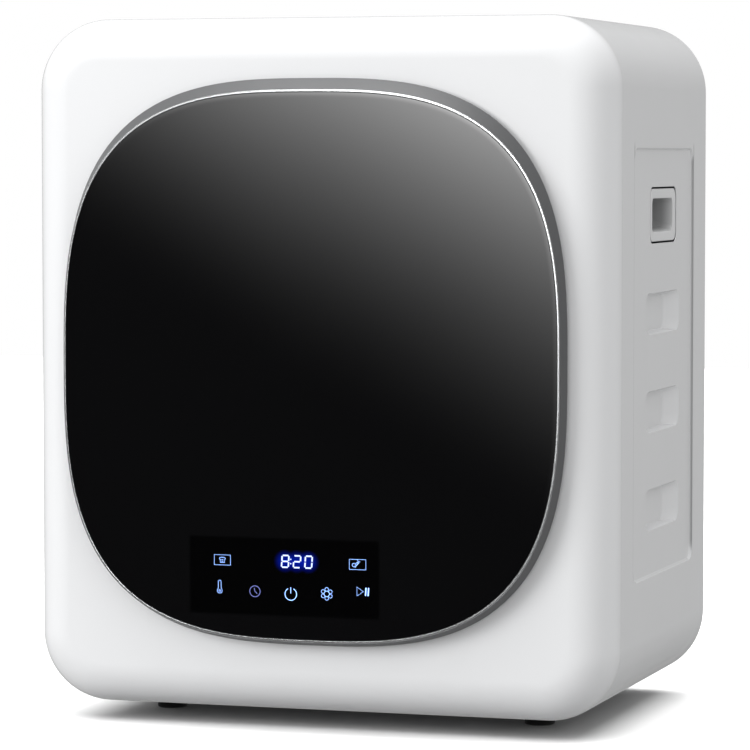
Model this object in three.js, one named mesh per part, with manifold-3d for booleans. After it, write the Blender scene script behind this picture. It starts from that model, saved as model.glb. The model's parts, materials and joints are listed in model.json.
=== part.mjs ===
// Compact vented tumble dryer: a glossy front shell on a steel wrap, a glass door with a touch display, and a
// belt driven drum, fan and heater inside. Millimetres. X is to the right of a person facing the door, Y runs
// from front to back and Z is up. Depths are measured from the plane of the front shell, heights from the
// cabinet's underside.
import * as THREE from 'three';
import { mergeVertices } from 'three/addons/utils/BufferGeometryUtils.js';
import Module from 'manifold-3d';

const wasm = await Module();
wasm.setup();

// Cabinet
const cabinetWidth = 590;
const cabinetHeight = 675;
const cabinetDepth = 396;
const cornerRadius = 69.5;
const frontFillet = 42;
const seamDepth = 44;
const shellWall = 3;
const sheet = 1.2;
const footHeight = 17;
const footRadius = 15.5;
const footInset = 102;
const frontFootDepth = 125;
const rearFootInset = 60;

// Clearances
const fit = 0.3;
const turning = 0.8;
const over = 2;

// Sides of round pieces, by size
const fine = 36;
const medium = 20;
const coarse = 14;
const plain = 10;
const filletSteps = 5;

// Pressed sides
const fieldFront = 91;
const fieldRearInset = 53;
const fieldBottom = 127;
const fieldTopInset = 126;
const fieldDepth = 2.5;
const fieldSlope = 3;
const fieldRadius = 14;
const pocketLength = 141;
const pocketFloorLength = 103;
const pocketHeight = 41;
const pocketFloorHeight = 28;
const pocketDepth = 9;
const pocketCount = 3;
const lowestPocketRise = 66;
const cupLength = 110;
const cupHeight = 54;
const cupRadius = 9;
const cupCentreFromTop = 192.5;
const cupMouthLength = 87;
const cupMouthHeight = 34;
const cupMouthRadius = 6;
const cupMouthShift = -2.5;
const cupReach = 30;
const cupWall = 2;

// Door
const doorSideMargin = 40;
const doorTopMargin = 59.5;
const doorBottomMargin = 69;
const doorPower = 2.98;
const doorGap = 2.5;
const doorProud = 20;
const bandSideLean = 4.1;
const bandTopLean = 11.2;
const bandBottomLean = 4.5;
const backChamfer = 3;
const bandWall = 2.2;
const trimWidth = 4;
const trimHeight = 2.2;
const glassThickness = 3.8;
const glassCrown = 1.7;
const ledgeWidth = 12;
const ledgeHeight = 1.8;
const linerThickness = 2.5;
const bowlDepth = 38;
const pinRadius = 2;
const knuckleRadius = 3.6;
const knuckleGap = 1;
const hingeDepth = -9.5;
const armSpread = 34;
const armHeight = 10;
const hingeReach = 50;
const leafWidth = 36;
const armThickness = 3;
const catchInset = 30;

// Display, behind the lower part of the glass
const displayShift = -15.7;
const displayHeight = 136;
const displayWidth = 190;
const displayRise = 72;
const boardThickness = 1.6;

// Drum and the mouth that it turns on
const drumSideClearance = 37;
const drumEndClearance = 79.5;
const drumRise = 7.5;
const drumWall = 1.5;
const lipDepth = 80;
const mouthWall = 3;
const seatDepth = 6;
const bulkheadDepth = 46;
const frontFeltLength = 14;
const feltThickness = 5.6;
const hubRadius = 21.5;
const spindleRadius = 8;
const ventInner = 50;
const ventOuter = 98;
const ventCount = 12;
const lifterHeight = 36;
const lifterWidth = 60;
const lifterCount = 3;
const filterRadius = 104;
const filterHeight = 27.5;

// Rear stack, measured forward from the back edge of the wrap
const coverInset = 0.7;
const coverThickness = 1.4;
const returnFlange = 14;
const pulleyFace = 4.6;
const pulleyWidth = 5.4;
const scrollBack = 11.5;
const scrollWall = 2;
const impellerBack = 16;
const impellerWidth = 19;
const rearBulkheadInset = 46;
const impellerRadius = 130;
const bladeCount = 18;
const scrollRadius = 138;
const scrollGrowth = 44;
const collarRadius = 50;
const collarWall = 2.4;
const collarReach = 28;
const collarSide = 130;
const collarRise = 130;

// Cord gland, heater duct and control box
const glandRadius = 9;
const glandHeight = 250;
const glandInset = 65;
const ductWidth = 88;
const ductHeight = 68;
const ductWall = 1.6;
const boxWidth = 118;
const boxDepth = 120;
const boxHeight = 34;
const boxWall = 2;

// Drive
const motorSideInset = 90;
const motorRise = 78;
const motorRadius = 52;
const motorLength = 118;
const statorBore = 31;
const shaftRadius = 6;
const drivePulleyRadius = 9;
const beltWidth = 8;
const beltThickness = 2;
const beltGap = 0.9;
const fanPulleyRadius = 46;
const fanDriveRadius = 34;
const grooveDepth = 3;
const idlerRadius = 15;
const idlerShare = 0.46;
const idlerPush = 6;
const idlerArmRun = 46;
const idlerArmDrop = 24;

// Worked out from the values above
const halfWidth = cabinetWidth / 2;
const doorHalfWidth = halfWidth - doorSideMargin;
const doorHalfHeight = (cabinetHeight - doorTopMargin - doorBottomMargin) / 2;
const doorHeight = doorBottomMargin + doorHalfHeight;
const ringBack = -(doorProud - trimHeight);
const ringHalfWidth = doorHalfWidth - bandSideLean;
const ringHalfHeight = doorHalfHeight - (bandTopLean + bandBottomLean) / 2;
const ringHeight = doorHeight + (bandBottomLean - bandTopLean) / 2;
const drumRadius = Math.min(halfWidth - drumSideClearance, cabinetHeight / 2 - drumEndClearance);
const drumHeight = cabinetHeight / 2 + drumRise;
const mouthRadius = drumRadius - lipDepth;
const shellHole = mouthRadius + 22;
const cupCentre = cabinetHeight - cupCentreFromTop;
const lowestPocket = fieldBottom + lowestPocketRise;
const pocketPitch = (cupCentre - lowestPocket) / pocketCount;
const rearBulkhead = cabinetDepth - rearBulkheadInset;
const drumFront = bulkheadDepth + 9;
const drumBack = rearBulkhead - 6.5;
const pulleyFront = cabinetDepth - pulleyFace - pulleyWidth;
const motorX = halfWidth - motorSideInset;
const motorBack = rearBulkhead - 40;
const motorFront = motorBack - motorLength;
const drumBeltDepth = motorFront - 34;
const catchX = doorHalfWidth - catchInset;
const hingeX = -(reachAt(hingeDepth) * outlineShare(hingeReach) - bandWall - knuckleRadius - knuckleGap);

const finishes = {
  glossWhite: { color: 0xf1f2f4, roughness: 0.16, metalness: 0 },
  paintedWhite: { color: 0xe9eaec, roughness: 0.28, metalness: 0 },
  softWhite: { color: 0xdfe0e2, roughness: 0.5, metalness: 0 },
  blackGlass: { color: 0x050506, roughness: 0.05, metalness: 0 },
  silverTrim: { color: 0xd8dadd, roughness: 0.2, metalness: 1 },
  darkGrey: { color: 0x4b4d50, roughness: 0.42, metalness: 0 },
  midGrey: { color: 0x8d9094, roughness: 0.5, metalness: 0 },
  blackPlastic: { color: 0x17181a, roughness: 0.5, metalness: 0 },
  rubber: { color: 0x131313, roughness: 0.8, metalness: 0 },
  stainless: { color: 0xc3c6c9, roughness: 0.25, metalness: 1 },
  zincSteel: { color: 0xa9adb1, roughness: 0.42, metalness: 1 },
  castAlloy: { color: 0x9fa2a5, roughness: 0.55, metalness: 1 },
  felt: { color: 0x9a958c, roughness: 0.95, metalness: 0 },
  circuitBoard: { color: 0x1d5a35, roughness: 0.45, metalness: 0 },
};

// ---------- solids ----------

// Any closed three.js geometry as a solid, its doubled corners merged and its faces turned outwards.
function solidFrom(geometry) {
  geometry.deleteAttribute('normal');
  geometry.deleteAttribute('uv');
  const welded = mergeVertices(geometry, 1e-4);
  const spots = welded.getAttribute('position').array;
  const kept = [];
  let volume = 0;
  for (let i = 0; i < welded.index.count; i += 3) {
    const corner = [0, 1, 2].map((step) => welded.index.getX(i + step));
    if (new Set(corner).size < 3) continue;
    const [a, b, c] = corner.map((at) => new THREE.Vector3().fromArray(spots, at * 3));
    volume += a.dot(b.cross(c));
    kept.push(...corner);
  }
  if (volume < 0) kept.reverse();
  const vertProperties = new Float32Array(spots);
  return new wasm.Manifold(new wasm.Mesh({ numProp: 3, vertProperties, triVerts: new Uint32Array(kept) }));
}

function joined(solids) {
  return solids.reduce((whole, piece) => whole.add(piece));
}

function cut(solid, cutters) {
  return cutters.reduce((whole, cutter) => whole.subtract(cutter), solid);
}

function box([left, right], [front, back], [bottom, top]) {
  const geometry = new THREE.BoxGeometry(right - left, back - front, top - bottom);
  geometry.translate((left + right) / 2, (front + back) / 2, (bottom + top) / 2);
  return solidFrom(geometry);
}

// A round bar along Y.
function bar(radius, [front, back], x = 0, z = 0, sides = medium) {
  const geometry = new THREE.CylinderGeometry(radius, radius, back - front, sides);
  geometry.translate(x, (front + back) / 2, z);
  return solidFrom(geometry);
}

// A round bar along Z.
function post(radius, [bottom, top], x, y, sides = plain) {
  const geometry = new THREE.CylinderGeometry(radius, radius, top - bottom, sides);
  geometry.rotateX(Math.PI / 2);
  geometry.translate(x, y, (bottom + top) / 2);
  return solidFrom(geometry);
}

// A profile of [radius, depth] points turned round Y. A ring's profile closes on itself.
function turned(profile, sides = fine, ring = true) {
  const points = profile.map(([radius, depth]) => new THREE.Vector2(radius, depth));
  if (ring) points.push(points[0].clone());
  return solidFrom(new THREE.LatheGeometry(points, sides));
}

// A plain ring round Y.
function sleeve([inner, outer], [front, back], sides = fine) {
  return turned([[inner, front], [outer, front], [outer, back], [inner, back]], sides);
}

// A shape drawn in X and Z, pushed along Y.
function slab(shape, [front, back], options = {}) {
  const settings = { depth: back - front, bevelEnabled: false, curveSegments: 3, ...options };
  const geometry = new THREE.ExtrudeGeometry(shape, settings);
  geometry.rotateX(Math.PI / 2);
  geometry.translate(0, back, 0);
  return solidFrom(geometry);
}

function roundedRectangle(width, height, radius, x = 0, z = 0) {
  const right = width / 2 - radius;
  const top = height / 2 - radius;
  const shape = new THREE.Shape();
  shape.absarc(x + right, z + top, radius, 0, Math.PI / 2);
  shape.absarc(x - right, z + top, radius, Math.PI / 2, Math.PI);
  shape.absarc(x - right, z - top, radius, Math.PI, Math.PI * 1.5);
  shape.absarc(x + right, z - top, radius, Math.PI * 1.5, Math.PI * 2);
  shape.closePath();
  return shape;
}

// The cabinet's outline, set in from its outer surface.
function cabinetOutline(inset) {
  const radius = cornerRadius - inset;
  return roundedRectangle(cabinetWidth - 2 * inset, cabinetHeight - 2 * inset, radius, 0, cabinetHeight / 2);
}

function mesh(name, solid, finish) {
  const { vertProperties, triVerts } = solid.getMesh();
  const geometry = new THREE.BufferGeometry();
  geometry.setAttribute('position', new THREE.BufferAttribute(vertProperties, 3));
  geometry.setIndex(new THREE.BufferAttribute(triVerts, 1));
  geometry.computeVertexNormals();
  const piece = new THREE.Mesh(geometry, new THREE.MeshStandardMaterial({ ...finish, flatShading: true }));
  piece.name = name;
  return piece;
}

function placed(object, x, y, z) {
  object.position.set(x, y, z);
  return object;
}

function gather(...objects) {
  const group = new THREE.Group();
  group.add(...objects);
  return group;
}

// ---------- cabinet ----------

// The front shell's body with its edge rounded over, set in from the outer surface.
function shellBody(inset, back) {
  const round = frontFillet - inset;
  const options = { bevelEnabled: true, bevelThickness: round, bevelSize: round, bevelSegments: filletSteps };
  return slab(cabinetOutline(frontFillet), [frontFillet, back], options);
}

function frontShell() {
  const across = [-halfWidth - over, halfWidth + over];
  const behind = box(across, [seamDepth, cabinetDepth], [-over, cabinetHeight + over]);
  const hinge = [-1, 1].map((side) => armSlot(side, [-over, shellWall + over]));
  const catchHole = bar(9, [-over, shellWall + over], catchX, doorHeight, coarse);
  const mouth = bar(shellHole, [-over, shellWall + over], 0, drumHeight, fine);
  const inside = shellBody(shellWall, seamDepth + over);
  return cut(shellBody(0, seamDepth), [inside, behind, mouth, catchHole, ...hinge]);
}

// The clear space round one hinge arm.
function armSlot(side, depths) {
  const half = armThickness / 2 + 1;
  const middle = doorHeight + side * armSpread;
  const reach = armHeight / 2 + 1;
  return box([hingeX - half, hingeX + half], depths, [middle - reach, middle + reach]);
}

// A shape drawn in depth and height and pushed out through a side wall: side is 1 at the right, -1 at the
// left.
function sideSolid(shape, [inner, outer], side, reshape = null) {
  const options = { depth: outer - inner, bevelEnabled: false, curveSegments: 1 };
  const geometry = new THREE.ExtrudeGeometry(shape, options);
  if (reshape) reshape(geometry.getAttribute('position'));
  const toSide = new THREE.Matrix4().makeBasis(
    new THREE.Vector3(0, 1, 0),
    new THREE.Vector3(0, 0, 1),
    new THREE.Vector3(1, 0, 0),
  );
  geometry.applyMatrix4(toSide);
  geometry.translate(inner, 0, 0);
  geometry.scale(side, 1, 1);
  return solidFrom(geometry);
}

// The flat field pressed into a side. Grown by the sheet, it is the same press seen from inside.
function pressedField(side, grow) {
  const back = cabinetDepth - fieldRearInset;
  const top = cabinetHeight - fieldTopInset;
  const middle = [(fieldFront + back) / 2, (fieldBottom + top) / 2];
  const size = [back - fieldFront + 2 * grow, top - fieldBottom + 2 * grow];
  const shape = roundedRectangle(...size, fieldRadius + grow, ...middle);
  const floor = halfWidth - fieldDepth - grow;
  return sideSolid(shape, [floor, halfWidth + over], side, (spots) => {
    for (let i = 0; i < spots.count; i += 1) {
      if (spots.getZ(i) > 0) continue;
      spots.setX(i, middle[0] + (spots.getX(i) - middle[0]) * (1 - (2 * fieldSlope) / (back - fieldFront)));
      spots.setY(i, middle[1] + (spots.getY(i) - middle[1]) * (1 - (2 * fieldSlope) / (top - fieldBottom)));
    }
  });
}

// One pocket of the side, with a long ramp towards the back and short flanks above and below.
function pressedPocket(side, height, grow) {
  const centre = fieldCentre();
  const front = centre - pocketLength / 2;
  const shape = roundedRectangle(pocketLength + 2 * grow, pocketHeight + 2 * grow, 8 + grow, centre, height);
  const floor = halfWidth - fieldDepth - pocketDepth - grow;
  return sideSolid(shape, [floor, halfWidth - fieldDepth - grow + 0.5], side, (spots) => {
    for (let i = 0; i < spots.count; i += 1) {
      if (spots.getZ(i) > 0) continue;
      spots.setX(i, front + 2 + ((spots.getX(i) - front) * (pocketFloorLength + grow)) / pocketLength);
      spots.setY(i, height + ((spots.getY(i) - height) * (pocketFloorHeight + grow)) / pocketHeight);
    }
  });
}

function fieldCentre() {
  return (fieldFront + cabinetDepth - fieldRearInset) / 2 + 3.5;
}

function sidePresses(side, grow) {
  const pockets = Array.from({ length: pocketCount }, (_, step) =>
    pressedPocket(side, lowestPocket + step * pocketPitch, grow));
  return joined([pressedField(side, grow), ...pockets]);
}

function cupOutline(grow) {
  const size = [cupLength + 2 * grow, cupHeight + 2 * grow];
  return roundedRectangle(...size, cupRadius + grow, fieldCentre(), cupCentre);
}

function cabinetWrap() {
  const depths = [seamDepth + fit, cabinetDepth];
  const inside = [seamDepth - over, cabinetDepth - 2.4 - sheet];
  const sides = [-1, 1];
  const outer = cut(slab(cabinetOutline(0), depths), sides.map((side) => sidePresses(side, 0)));
  const inner = cut(slab(cabinetOutline(sheet), inside), sides.map((side) => sidePresses(side, sheet)));
  const rim = slab(cabinetOutline(sheet), [cabinetDepth - 2.4, cabinetDepth + over]);
  const window = slab(cabinetOutline(sheet + returnFlange), [cabinetDepth - 20, cabinetDepth + over]);
  const cups = sides.map((side) => sideSolid(cupOutline(0.8), [halfWidth - 20, halfWidth + over], side));
  const feet = footSpots().map(([x, y]) => post(5, [-over, sheet + over], x, y));
  const screws = screwSpots().map(([x, z]) => bar(2.2, [cabinetDepth - 20, cabinetDepth + over], x, z, 10));
  return cut(outer, [inner, rim, window, ...cups, ...feet, ...screws]);
}

function footSpots() {
  const rear = cabinetDepth - rearFootInset;
  const side = halfWidth - footInset;
  return [
    [-side, frontFootDepth],
    [side, frontFootDepth],
    [-side, rear],
    [side, rear],
  ];
}

function foot() {
  const profile = [
    [0, -footHeight],
    [footRadius - 1.5, -footHeight],
    [footRadius, -footHeight + 1.5],
    [footRadius - 2, -fit],
    [4, -fit],
    [4, 10],
    [0, 10],
  ];
  const points = profile.map(([radius, z]) => new THREE.Vector2(radius, z));
  const geometry = new THREE.LatheGeometry(points, coarse);
  geometry.rotateX(Math.PI / 2);
  return solidFrom(geometry);
}

function screwSpots() {
  const side = halfWidth - sheet - returnFlange / 2;
  const upper = cabinetHeight - sheet - returnFlange / 2;
  const heights = [cornerRadius + 20, cabinetHeight - cornerRadius - 20];
  const ends = [sheet + returnFlange / 2, upper];
  return [...heights.flatMap((z) => [[-side, z], [side, z]]), ...ends.map((z) => [0, z])];
}

function basePlate() {
  const reach = halfWidth - cornerRadius;
  const plate = box([-reach, reach], [bulkheadDepth + 16, rearBulkhead - 16], [sheet + 0.4, sheet + 3]);
  return cut(plate, footSpots().map(([x, y]) => post(5, [0, 10], x, y)));
}

function handleCup(side) {
  const middle = [fieldCentre() + cupMouthShift, cupCentre];
  const mouth = (grow) => {
    const size = [cupMouthLength + 2 * grow, cupMouthHeight + 2 * grow];
    return roundedRectangle(...size, cupMouthRadius + grow, ...middle);
  };
  const face = halfWidth - fieldDepth;
  const rim = sideSolid(cupOutline(0), [face - sheet - fit - 0.5, face], side);
  const collar = sideSolid(cupOutline(4), [face - sheet - fit - 2, face - sheet - fit], side);
  const cup = sideSolid(mouth(cupWall), [face - cupReach, face - 1], side);
  const hollow = sideSolid(mouth(0), [face - cupReach + cupWall, face + over], side);
  return cut(joined([rim, collar, cup]), [hollow]);
}

function rearCover() {
  const depths = [cabinetDepth - coverInset - coverThickness, cabinetDepth - coverInset];
  const through = [depths[0] - over, depths[1] + over];
  const louvres = [0, 1, 2, 3, 4, 5].map((row) => {
    const bottom = cabinetHeight - 110 - row * 16;
    return box([60, halfWidth - 85], through, [bottom, bottom + 5]);
  });
  const screws = screwSpots().map(([x, z]) => bar(2.2, through, x, z, 10));
  const collar = bar(collarRadius + 1, through, -(halfWidth - collarSide), collarRise, medium + 6);
  const gland = bar(glandRadius + 0.4, through, glandX(), glandHeight, coarse);
  return cut(slab(cabinetOutline(sheet + fit), depths), [...louvres, ...screws, collar, gland]);
}

function glandX() {
  return halfWidth - glandInset;
}

function cordGland() {
  const face = cabinetDepth - coverInset;
  const flange = bar(glandRadius + 4, [face + fit, face + 5], 0, 0, coarse);
  const barrel = bar(glandRadius, [face - 10, face + 8], 0, 0, coarse);
  return cut(flange.add(barrel), [bar(4.5, [face - 12, face + 10], 0, 0, plain)]);
}

function exhaustCollar() {
  const face = cabinetDepth - coverInset;
  const bore = collarRadius - collarWall;
  const tube = turned([
    [bore, cabinetDepth - scrollBack + fit],
    [collarRadius, cabinetDepth - scrollBack + fit],
    [collarRadius, face + fit],
    [collarRadius + 10, face + fit],
    [collarRadius + 10, face + 3],
    [collarRadius, face + 3],
    [collarRadius, cabinetDepth + collarReach],
    [bore, cabinetDepth + collarReach],
  ], medium + 6);
  const guard = [-1, 0, 1].map((step) =>
    box([-bore - 1, bore + 1], [face - 7, face - 4], [step * 22 - 1.5, step * 22 + 1.5]));
  return joined([tube, ...guard]);
}

// ---------- door ----------

// The door's half width at a depth: it leans in from its base to the trim ring.
function reachAt(depth) {
  return THREE.MathUtils.lerp(doorHalfWidth, ringHalfWidth, bandShare(depth));
}

function bandShare(depth) {
  const base = -doorGap - backChamfer;
  return THREE.MathUtils.clamp((depth - base) / (ringBack - base), 0, 1);
}

// How much of its full reach the door's outline keeps at a height above or below its middle.
function outlineShare(height) {
  return (1 - (height / doorHalfHeight) ** doorPower) ** (1 / doorPower);
}

function signedPower(value) {
  return Math.sign(value) * Math.abs(value) ** (2 / doorPower);
}

// A profile of [half width, depth] points carried round the door's soft, squared outline. Pieces in front of
// the band keep the trim ring's outline all through.
function doorTurned(profile, ring = true, share = bandShare) {
  const points = profile.map(([reach, depth]) => new THREE.Vector2(reach, depth));
  if (ring) points.push(points[0].clone());
  const geometry = new THREE.LatheGeometry(points, 48);
  const spots = geometry.getAttribute('position');
  for (let i = 0; i < spots.count; i += 1) {
    const lean = share(spots.getY(i));
    const halfHeight = THREE.MathUtils.lerp(doorHalfHeight, ringHalfHeight, lean);
    const height = THREE.MathUtils.lerp(doorHeight, ringHeight, lean);
    const aspect = halfHeight / THREE.MathUtils.lerp(doorHalfWidth, ringHalfWidth, lean);
    const reach = Math.hypot(spots.getX(i), spots.getZ(i));
    const angle = Math.atan2(spots.getZ(i), spots.getX(i));
    spots.setX(i, reach * signedPower(Math.cos(angle)));
    spots.setZ(i, height + reach * aspect * signedPower(Math.sin(angle)));
  }
  return solidFrom(geometry);
}

function glassFace() {
  return -(doorProud - 0.1);
}

function doorGlass() {
  const reach = ringHalfWidth - trimWidth - 0.4;
  const crown = [0.7, 0.35, 0].map((share) =>
    [share * reach, glassFace() - glassCrown * (1 - share * share)]);
  const back = glassFace() + glassThickness;
  const profile = [[0, back], [reach, back], [reach, glassFace() + 0.5], [reach - 1, glassFace()], ...crown];
  return doorTurned(profile, false, () => 1);
}

function trimRing() {
  const inner = ringHalfWidth - trimWidth;
  return doorTurned([
    [inner, ringBack - fit],
    [ringHalfWidth, ringBack - fit],
    [ringHalfWidth, -doorProud + 0.8],
    [ringHalfWidth - 0.8, -doorProud],
    [inner + 0.5, -doorProud],
    [inner, -doorProud + 0.5],
  ], true, () => 1);
}

function ledgeFront() {
  return glassFace() + glassThickness + fit;
}

// The space that the arms of the fixed hinge sweep through in the door.
function hingeRelief() {
  return [-1, 1].map((side) => {
    const middle = doorHeight + side * armSpread;
    const heights = [middle - armHeight / 2 - 0.6, middle + armHeight / 2 + 0.6];
    return box([-doorHalfWidth - over, hingeX + knuckleRadius + 0.7], [-15, over], heights);
  });
}

function doorFrame() {
  const seat = ringHalfWidth - trimWidth;
  const behind = ledgeFront() + ledgeHeight;
  const band = doorTurned([
    [doorHalfWidth - backChamfer, -doorGap],
    [doorHalfWidth - backChamfer - bandWall, -doorGap],
    [doorHalfWidth - bandWall, -doorGap - backChamfer],
    [reachAt(behind) - bandWall, behind],
    [seat - ledgeWidth, behind],
    [seat - ledgeWidth, ledgeFront()],
    [seat, ledgeFront()],
    [seat, ringBack],
    [ringHalfWidth, ringBack],
    [doorHalfWidth, -doorGap - backChamfer],
  ]);
  return cut(band, hingeRelief());
}

function doorLiner() {
  const back = -doorGap - 0.5;
  const front = back - linerThickness;
  const reach = doorHalfWidth - bandWall - backChamfer - 0.4;
  const plate = doorTurned([[0, front], [reach, front], [reach, back], [0, back]], false);
  const rim = mouthRadius - 10;
  const bowl = turned([
    [0, bowlDepth],
    [rim - 30, bowlDepth - 2],
    [rim - 10, bowlDepth - 9],
    [rim, back],
    [rim - 1, front],
    [rim - 3, front],
    [rim - 12.5, bowlDepth - 10.5],
    [rim - 31, bowlDepth - 4.5],
    [0, bowlDepth - 2.5],
  ], fine, false);
  const hole = bar(rim - 2, [front - over, back + over], 0, drumHeight, fine);
  const reliefReach = hingeReach + 4;
  const heights = [doorHeight - reliefReach, doorHeight + reliefReach];
  const leaf = box([hingeX - 8, hingeX + leafWidth + 3], [-16, over], heights);
  return cut(plate, [hole, leaf, ...hingeRelief()]).add(moved(bowl, 0, 0, drumHeight));
}

// A solid carried to another place.
function moved(solid, x, y, z) {
  const { vertProperties, triVerts } = solid.getMesh();
  const geometry = new THREE.BufferGeometry();
  geometry.setAttribute('position', new THREE.BufferAttribute(vertProperties, 3));
  geometry.setIndex(new THREE.BufferAttribute(triVerts, 1));
  geometry.translate(x, y, z);
  return solidFrom(geometry);
}

function doorSeal() {
  const inner = mouthRadius + 6;
  return turned([
    [inner, -doorGap - 0.2],
    [inner + 10, -doorGap - 0.2],
    [inner + 9, seatDepth - 1.6],
    [inner + 6.5, seatDepth - fit],
    [inner + 3.5, seatDepth - fit],
    [inner + 1, seatDepth - 1.6],
  ]);
}

function knuckle(bottom, top) {
  return post(knuckleRadius, [doorHeight + bottom, doorHeight + top], hingeX, hingeDepth);
}

function hingePin() {
  return post(pinRadius, [doorHeight - hingeReach, doorHeight + hingeReach], hingeX, hingeDepth);
}

function pinBore() {
  return post(pinRadius + fit, [doorHeight - 100, doorHeight + 100], hingeX, hingeDepth);
}

function hingeLeaf() {
  const edge = armSpread - armHeight / 2 - 1;
  const outer = armSpread + armHeight / 2 + 1;
  const heights = [doorHeight - hingeReach, doorHeight + hingeReach];
  const plate = box([hingeX + 1, hingeX + leafWidth], [hingeDepth - 1, hingeDepth + 1], heights);
  const gaps = [-1, 1].map((side) => {
    const middle = doorHeight + side * armSpread;
    const reach = armHeight / 2 + 1;
    return box([hingeX - 10, hingeX + 6], [hingeDepth - 5, hingeDepth + 5], [middle - reach, middle + reach]);
  });
  const barrels = [knuckle(-edge, edge), knuckle(outer, hingeReach), knuckle(-hingeReach, -outer)];
  return cut(joined([cut(plate, gaps), ...barrels]), [pinBore()]);
}

// How far the shell's inner face falls back beside the hinge, where its rounded edge reaches in that far.
function shellFall() {
  const past = armThickness / 2 - hingeX - (halfWidth - frontFillet);
  return Math.max(0, past) * Math.tan(Math.PI / 4 / filletSteps);
}

function hingeBracket() {
  const back = shellWall + fit + shellFall();
  const reach = hingeReach + 12;
  const span = [doorHeight - reach, doorHeight + reach];
  const plate = box([hingeX - 1.5, hingeX + leafWidth], [back, back + 2], span);
  const arms = [-1, 1].flatMap((side) => {
    const middle = doorHeight + side * armSpread;
    const heights = [middle - armHeight / 2, middle + armHeight / 2];
    const arm = box([hingeX - armThickness / 2, hingeX + armThickness / 2], [hingeDepth, back + 1], heights);
    return [arm, post(knuckleRadius, heights, hingeX, hingeDepth)];
  });
  return cut(joined([plate, ...arms]), [pinBore()]);
}

function displayBoard() {
  const front = ledgeFront() + 3.2;
  const [left, right] = [displayShift - displayWidth / 2 + 10, displayShift + displayWidth / 2 - 10];
  const heights = [displayHeight - displayRise / 2, displayHeight + displayRise / 2];
  const board = box([left, right], [front, front + boardThickness], heights);
  const chipDepths = [front + 1, front + boardThickness + 2];
  const chips = [-60, -20, 30].map((x) =>
    box([displayShift + x, displayShift + x + 14], chipDepths, [displayHeight - 8, displayHeight + 6]));
  return joined([board, ...chips]);
}

// The white box of cells that guides each light to its own mark on the glass.
function lightGuide() {
  const depths = [ledgeFront(), ledgeFront() + 2.9];
  const body = box([displayShift - 78, displayShift + 78], depths, [displayHeight - 26, displayHeight + 28]);
  const cells = [depths[0] - over, depths[1] - 0.8];
  const keys = [-72.8, -36.6, 0, 36.6, 73.2].map((x) =>
    bar(4.4, cells, displayShift + x * 0.98, displayHeight - 15, plain));
  const digits = box([displayShift - 24, displayShift + 24], cells, [displayHeight + 8, displayHeight + 22]);
  return cut(body, [...keys, digits]);
}

// ---------- mouth, bulkheads and drum ----------

function mouthRing() {
  const outer = shellHole + 6;
  return turned([
    [mouthRadius, seatDepth],
    [shellHole - 0.5, seatDepth],
    [shellHole - 0.5, shellWall + fit],
    [outer, shellWall + fit],
    [outer, seatDepth + 2],
    [mouthRadius + mouthWall, seatDepth + 2],
    [mouthRadius + mouthWall, drumFront + frontFeltLength + 3],
    [mouthRadius, drumFront + frontFeltLength + 3],
  ]);
}

// A pressed panel across the cabinet, with its edge folded back.
function bulkhead(depth, hole) {
  const inset = sheet + 0.5;
  const outside = slab(cabinetOutline(inset), [depth, depth + 13]);
  const inside = slab(cabinetOutline(inset + sheet), [depth + sheet, depth + 13 + over]);
  const heights = [fieldBottom - 10, cabinetHeight - fieldTopInset + 10];
  const pressClearance = box([-halfWidth, halfWidth], [depth + sheet + 1, depth + 40], heights);
  const opening = bar(hole, [depth - over, depth + over + sheet], 0, drumHeight, fine);
  return cut(outside, [inside, pressClearance, opening]);
}

function heaterX() {
  return -(halfWidth - motorSideInset);
}

function frontBulkhead() {
  const outline = roundedRectangle(ductWidth - 4, ductHeight - 4, 6, heaterX(), motorRise - 10);
  const port = slab(outline, [bulkheadDepth - over, bulkheadDepth + 5]);
  return cut(bulkhead(bulkheadDepth, mouthRadius + mouthWall + 0.8), [port]);
}

function rearBulkheadPanel() {
  const shaft = bar(shaftRadius + 10, [rearBulkhead - over, rearBulkhead + 5], motorX, motorRise, coarse);
  return cut(bulkhead(rearBulkhead, filterRadius + 2), [shaft]);
}

function frontFelt() {
  const inner = mouthRadius + mouthWall + 0.4;
  const depths = [drumFront + 1, drumFront + frontFeltLength];
  return sleeve([inner, inner + feltThickness], depths);
}

function lipRadius() {
  return mouthRadius + mouthWall + 0.4 + feltThickness + turning + 0.4;
}

function drum() {
  const lip = lipRadius();
  const wall = drumWall;
  const front = drumFront + frontFeltLength;
  const shell = turned([
    [lip, drumFront],
    [lip + wall, drumFront],
    [lip + wall, front - wall],
    [drumRadius - 28, front + 3],
    [drumRadius - 6, front + 11],
    [drumRadius, front + 23],
    [drumRadius, drumBack - 17],
    [drumRadius - 6, drumBack - 5],
    [drumRadius - 18, drumBack],
    [hubRadius + 2, drumBack],
    [hubRadius + 2, drumBack - wall],
    [drumRadius - 19, drumBack - wall],
    [drumRadius - 7, drumBack - 6.3],
    [drumRadius - wall, drumBack - 17.4],
    [drumRadius - wall, front + 23.4],
    [drumRadius - 7, front + 12.3],
    [drumRadius - 28.5, front + 4.6],
    [lip, front],
  ]);
  const vents = Array.from({ length: ventCount }, (_, step) => {
    const slot = new THREE.BoxGeometry(ventOuter - ventInner, 10, 7);
    slot.translate((ventOuter + ventInner) / 2, drumBack, 0);
    slot.rotateY((step * 2 * Math.PI) / ventCount);
    return solidFrom(slot);
  });
  return cut(shell, vents);
}

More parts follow.
